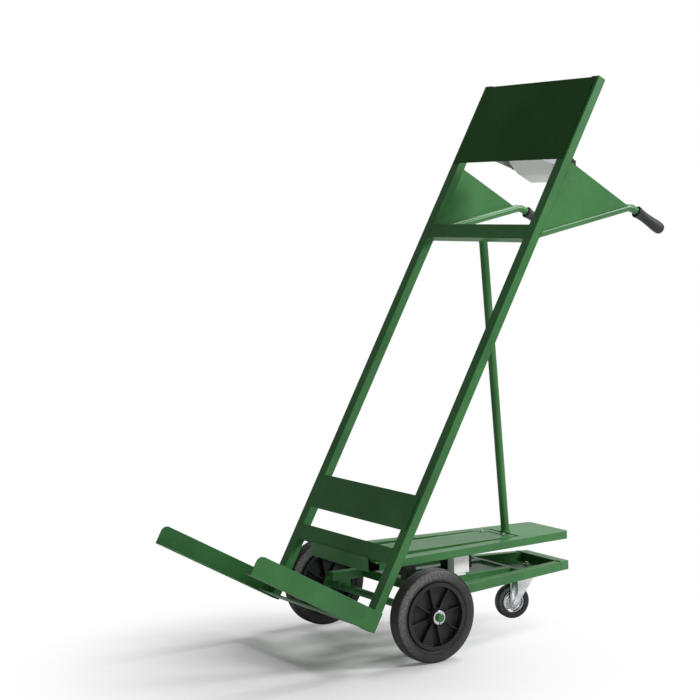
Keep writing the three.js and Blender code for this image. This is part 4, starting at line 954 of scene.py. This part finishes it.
# Display: a glass window lit from behind in green, brightest toward its left end, with dark
# seven-part figures a little inside it.
window_edge, glow_left, glow_up = 0.0003, 66, 20
figure_height, figure_width, figure_gap, figure_thick, figure_slant = 0.023, 0.0115, 0.0182, 0.0013, 0.09
figure_left, figure_foot, figure_level, segment_gap = -0.054, 0.0085, 0.03375, 0.0005
segment_shares = {
    "top": ((0, 1), (1, 1)), "middle": ((0, 0.5), (1, 0.5)), "bottom": ((0, 0), (1, 0)),
    "upper_left": ((0, 0.5), (0, 1)), "upper_right": ((1, 0.5), (1, 1)),
    "lower_left": ((0, 0), (0, 0.5)), "lower_right": ((1, 0), (1, 0.5)),
}
digit_parts = {
    0: ("top", "bottom", "upper_left", "upper_right", "lower_left", "lower_right"),
    1: ("upper_right", "lower_right"),
    6: ("top", "middle", "bottom", "upper_left", "lower_left", "lower_right"),
    8: tuple(segment_shares),
}
shown_digits = (0, 8, 6, 0, 1, 1)
lit = Finish("lit_display", Roughness=0.12, Emission_Strength=1.0)
right_mm, up_mm, out_mm = face_sockets(lit)
from_left, from_middle = right_mm + glow_left, up_mm - glow_up
glow_share = (1 - (from_left * from_left * 0.0009 + from_middle * from_middle * 0.002)).most(0)
lit.feed("Base Color", lit.blend(glow_share, ink("0c7a1a"), ink("23b52c")))
lit.feed("Emission Color", lit.blend(glow_share, ink("11a329"), ink("5be25f")))
eased("display_window", lit, "indicator_case", "display", window_edge, 2)


def segment(ends, left):
    """A flat bar with pointed ends between two corners of a figure, leaning to the right as it rises."""
    start, end = np.array((left, figure_foot)) + np.array(ends) * (figure_width, figure_height)
    way = (end - start) / np.linalg.norm(end - start)
    over = np.array((-way[1], way[0])) * figure_thick
    start, end = start + way * segment_gap, end - way * segment_gap
    tip = way * figure_thick
    outline = [start, start + tip + over, end - tip + over, end, end - tip - over, start + tip - over]
    x, y = np.array(outline).T
    return facing(x + (y - figure_foot) * figure_slant, y, figure_level), [list(range(6))]


figures = []
for place, digit in enumerate(shown_digits):
    left = figure_left + place * figure_gap
    figures += [segment(segment_shares[part], left) for part in digit_parts[digit]]
dark_figures = Finish("dark_figures", Roughness=0.5)
dark_figures.feed("Base Color", dark_figures.blend(dark_figures.noise(80, 2), ink("0c3a12"), ink("0f4a18")))
joined("display_figures", figures, dark_figures, "indicator_case", "display", smooth=False)


# Charge lamp and keys: a domed red lens, and six round navy caps that stand a little proud of the
# sheet. The caps carry plain white marks in place of the printed words.
lamp_x, lamp_y, lamp_round, key_round, mark_level, mark_soft = 88, 2, 0.0004, 0.0005, 34.5, 0.2
lamp_section = [(0, 0.031), (0.0047, 0.031), (0.0047, 0.0338), (0.0038, 0.0346), (0.0022, 0.0351),
                (0, 0.0352)]
key_section = [(0, 0.0252), (0.003, 0.0252), (0.003, 0.0295), (0.0125, 0.0295), (0.0125, 0.0307),
               (0.011, 0.0307), (0.011, 0.0346), (0.0104, 0.035), (0, 0.035)]
key_marks = [
    [(-4.5, 4.5, 1.2, 2.8), (-4.5, 4.5, -2.8, -1.2)],
    [(-4.5, 4.5, -0.8, 0.8)],
    [(-4.2, 4.2, -0.9, 0.9), (-0.9, 0.9, -4.2, 4.2)],
    [(-3.6, 3.6, 2.2, 3.6), (-3.6, 3.6, -3.6, -2.2), (-3.6, -2.2, -3.6, 3.6), (2.2, 3.6, -3.6, 3.6)],
    [(-4.5, 4.5, 0.8, 2.2), (-1.0, 1.0, -4.0, -1.0)],
    [(-3.0, 3.0, -3.0, 3.0)],
]
lens = Finish("red_lens", Roughness=0.12, Coat_Weight=0.6)
right_mm, up_mm, out_mm = face_sockets(lens)
from_x, from_y = right_mm - lamp_x, up_mm - lamp_y
lamp_reach = (from_x * from_x + from_y * from_y).power(0.5)
lens.feed("Base Color", lens.blend(lamp_reach.ramp(1.2, 4.6), ink("a11a22"), ink("4e0a10")))
lamp_centre = facing(lamp_x / metre, lamp_y / metre, 0)
lamp_dome = lathe(softened(lamp_section, lamp_round), lamp_centre, face_out, 48)
show(mesh_piece("charge_lamp_skin", *lamp_dome), lens, "indicator_case", "red_lens", "charge_lamp")

for index, ((key_x, key_y), marks) in enumerate(zip(key_places, key_marks), 1):
    cap = Finish(f"key_cap_{index}", Specular_IOR_Level=0.45)
    right_mm, up_mm, out_mm = face_sockets(cap)
    mark_mask = None
    for left, rightmost, low, high in marks:
        box = inside(right_mm, up_mm, key_x + left, key_x + rightmost, key_y + low, key_y + high, mark_soft)
        mark_mask = box if mark_mask is None else mark_mask.most(box)
    tone = cap.blend(cap.noise(60, 3), ink("1a1f30"), ink("23293d"))
    cap.feed("Base Color", cap.blend(mark_mask * out_mm.over(mark_level), tone, ink("eceef2")))
    cap.feed("Roughness", 0.38 + cap.noise(40, 3) * 0.15)
    key_centre = facing(key_x / metre, key_y / metre, 0)
    key = mesh_piece(f"key_{index}_skin", *lathe(softened(key_section, key_round), key_centre, face_out, 56))
    show(key, cap, f"key_{index}", "navy_plastic", f"key_{index}")


# Clamp knobs: black moulded heads with seven soft lobes, a stepped neck and a zinc stud into the
# case; they pinch the bracket so that the case holds its tilt.
knob_plastic = Finish("knob_plastic", Specular_IOR_Level=0.5)
knob_tone = knob_plastic.noise(90, 3)
knob_plastic.feed("Base Color", knob_plastic.blend(knob_tone, ink("141517"), ink("202124")))
knob_plastic.feed("Roughness", 0.28 + knob_tone * 0.2)
lobe_radius, lobe_rise, lobe_count, lobe_steps = 0.0155, 0.0016, 7, 168
head_low, head_top, head_sink, head_reach = 0.139, 0.0178, 0.001, lobe_radius + lobe_rise
neck_low, neck_radius, neck_step, neck_slope = 0.1278, 0.009, 0.005, 0.002
neck_share, neck_round, stud_low, stud_radius = 1.12, 0.0006, 0.113, 0.004
head_levels = [(head_reach, 0.0), (0.0030, 0.0), (0.0008, 0.0006), (0, 0.002), (0, 0.0165),
               (0.0008, 0.0184), (0.0028, 0.019), (0.006, 0.0188), (0.009, head_top), (head_reach, head_top)]
angle = np.linspace(0, 2 * np.pi, lobe_steps, endpoint=False)
lobed = lobe_radius + lobe_rise * np.cos(lobe_count * angle)
lobe_turn = np.cos(angle)[:, None] * face_up + np.sin(angle)[:, None] * face_out
neck_wide, neck_top = neck_radius * neck_share, head_low + head_sink
neck_outline = [(0, neck_low), (neck_radius, neck_low), (neck_radius, neck_low + neck_step),
                (neck_wide, neck_low + neck_step + neck_slope), (neck_wide, neck_top), (0, neck_top)]
neck_section = softened(neck_outline, neck_round)
stud_top = neck_low + head_sink
stud_section = [(0, stud_low), (stud_radius, stud_low), (stud_radius, stud_top), (0, stud_top)]
for name, side in sides:
    rings = [knob + side * (head_low + height) * across + np.maximum(lobed - inset, 0)[:, None] * lobe_turn
             for inset, height in head_levels]
    head = (np.concatenate(rings), skin(len(rings), lobe_steps))
    parts = [head, lathe(neck_section, knob, side * across, 64), lathe(stud_section, knob, side * across, 48)]
    node = f"{name}_clamp_knob"
    joined(f"{name}_knob_skin", parts, knob_plastic, node, "black_plastic", node)
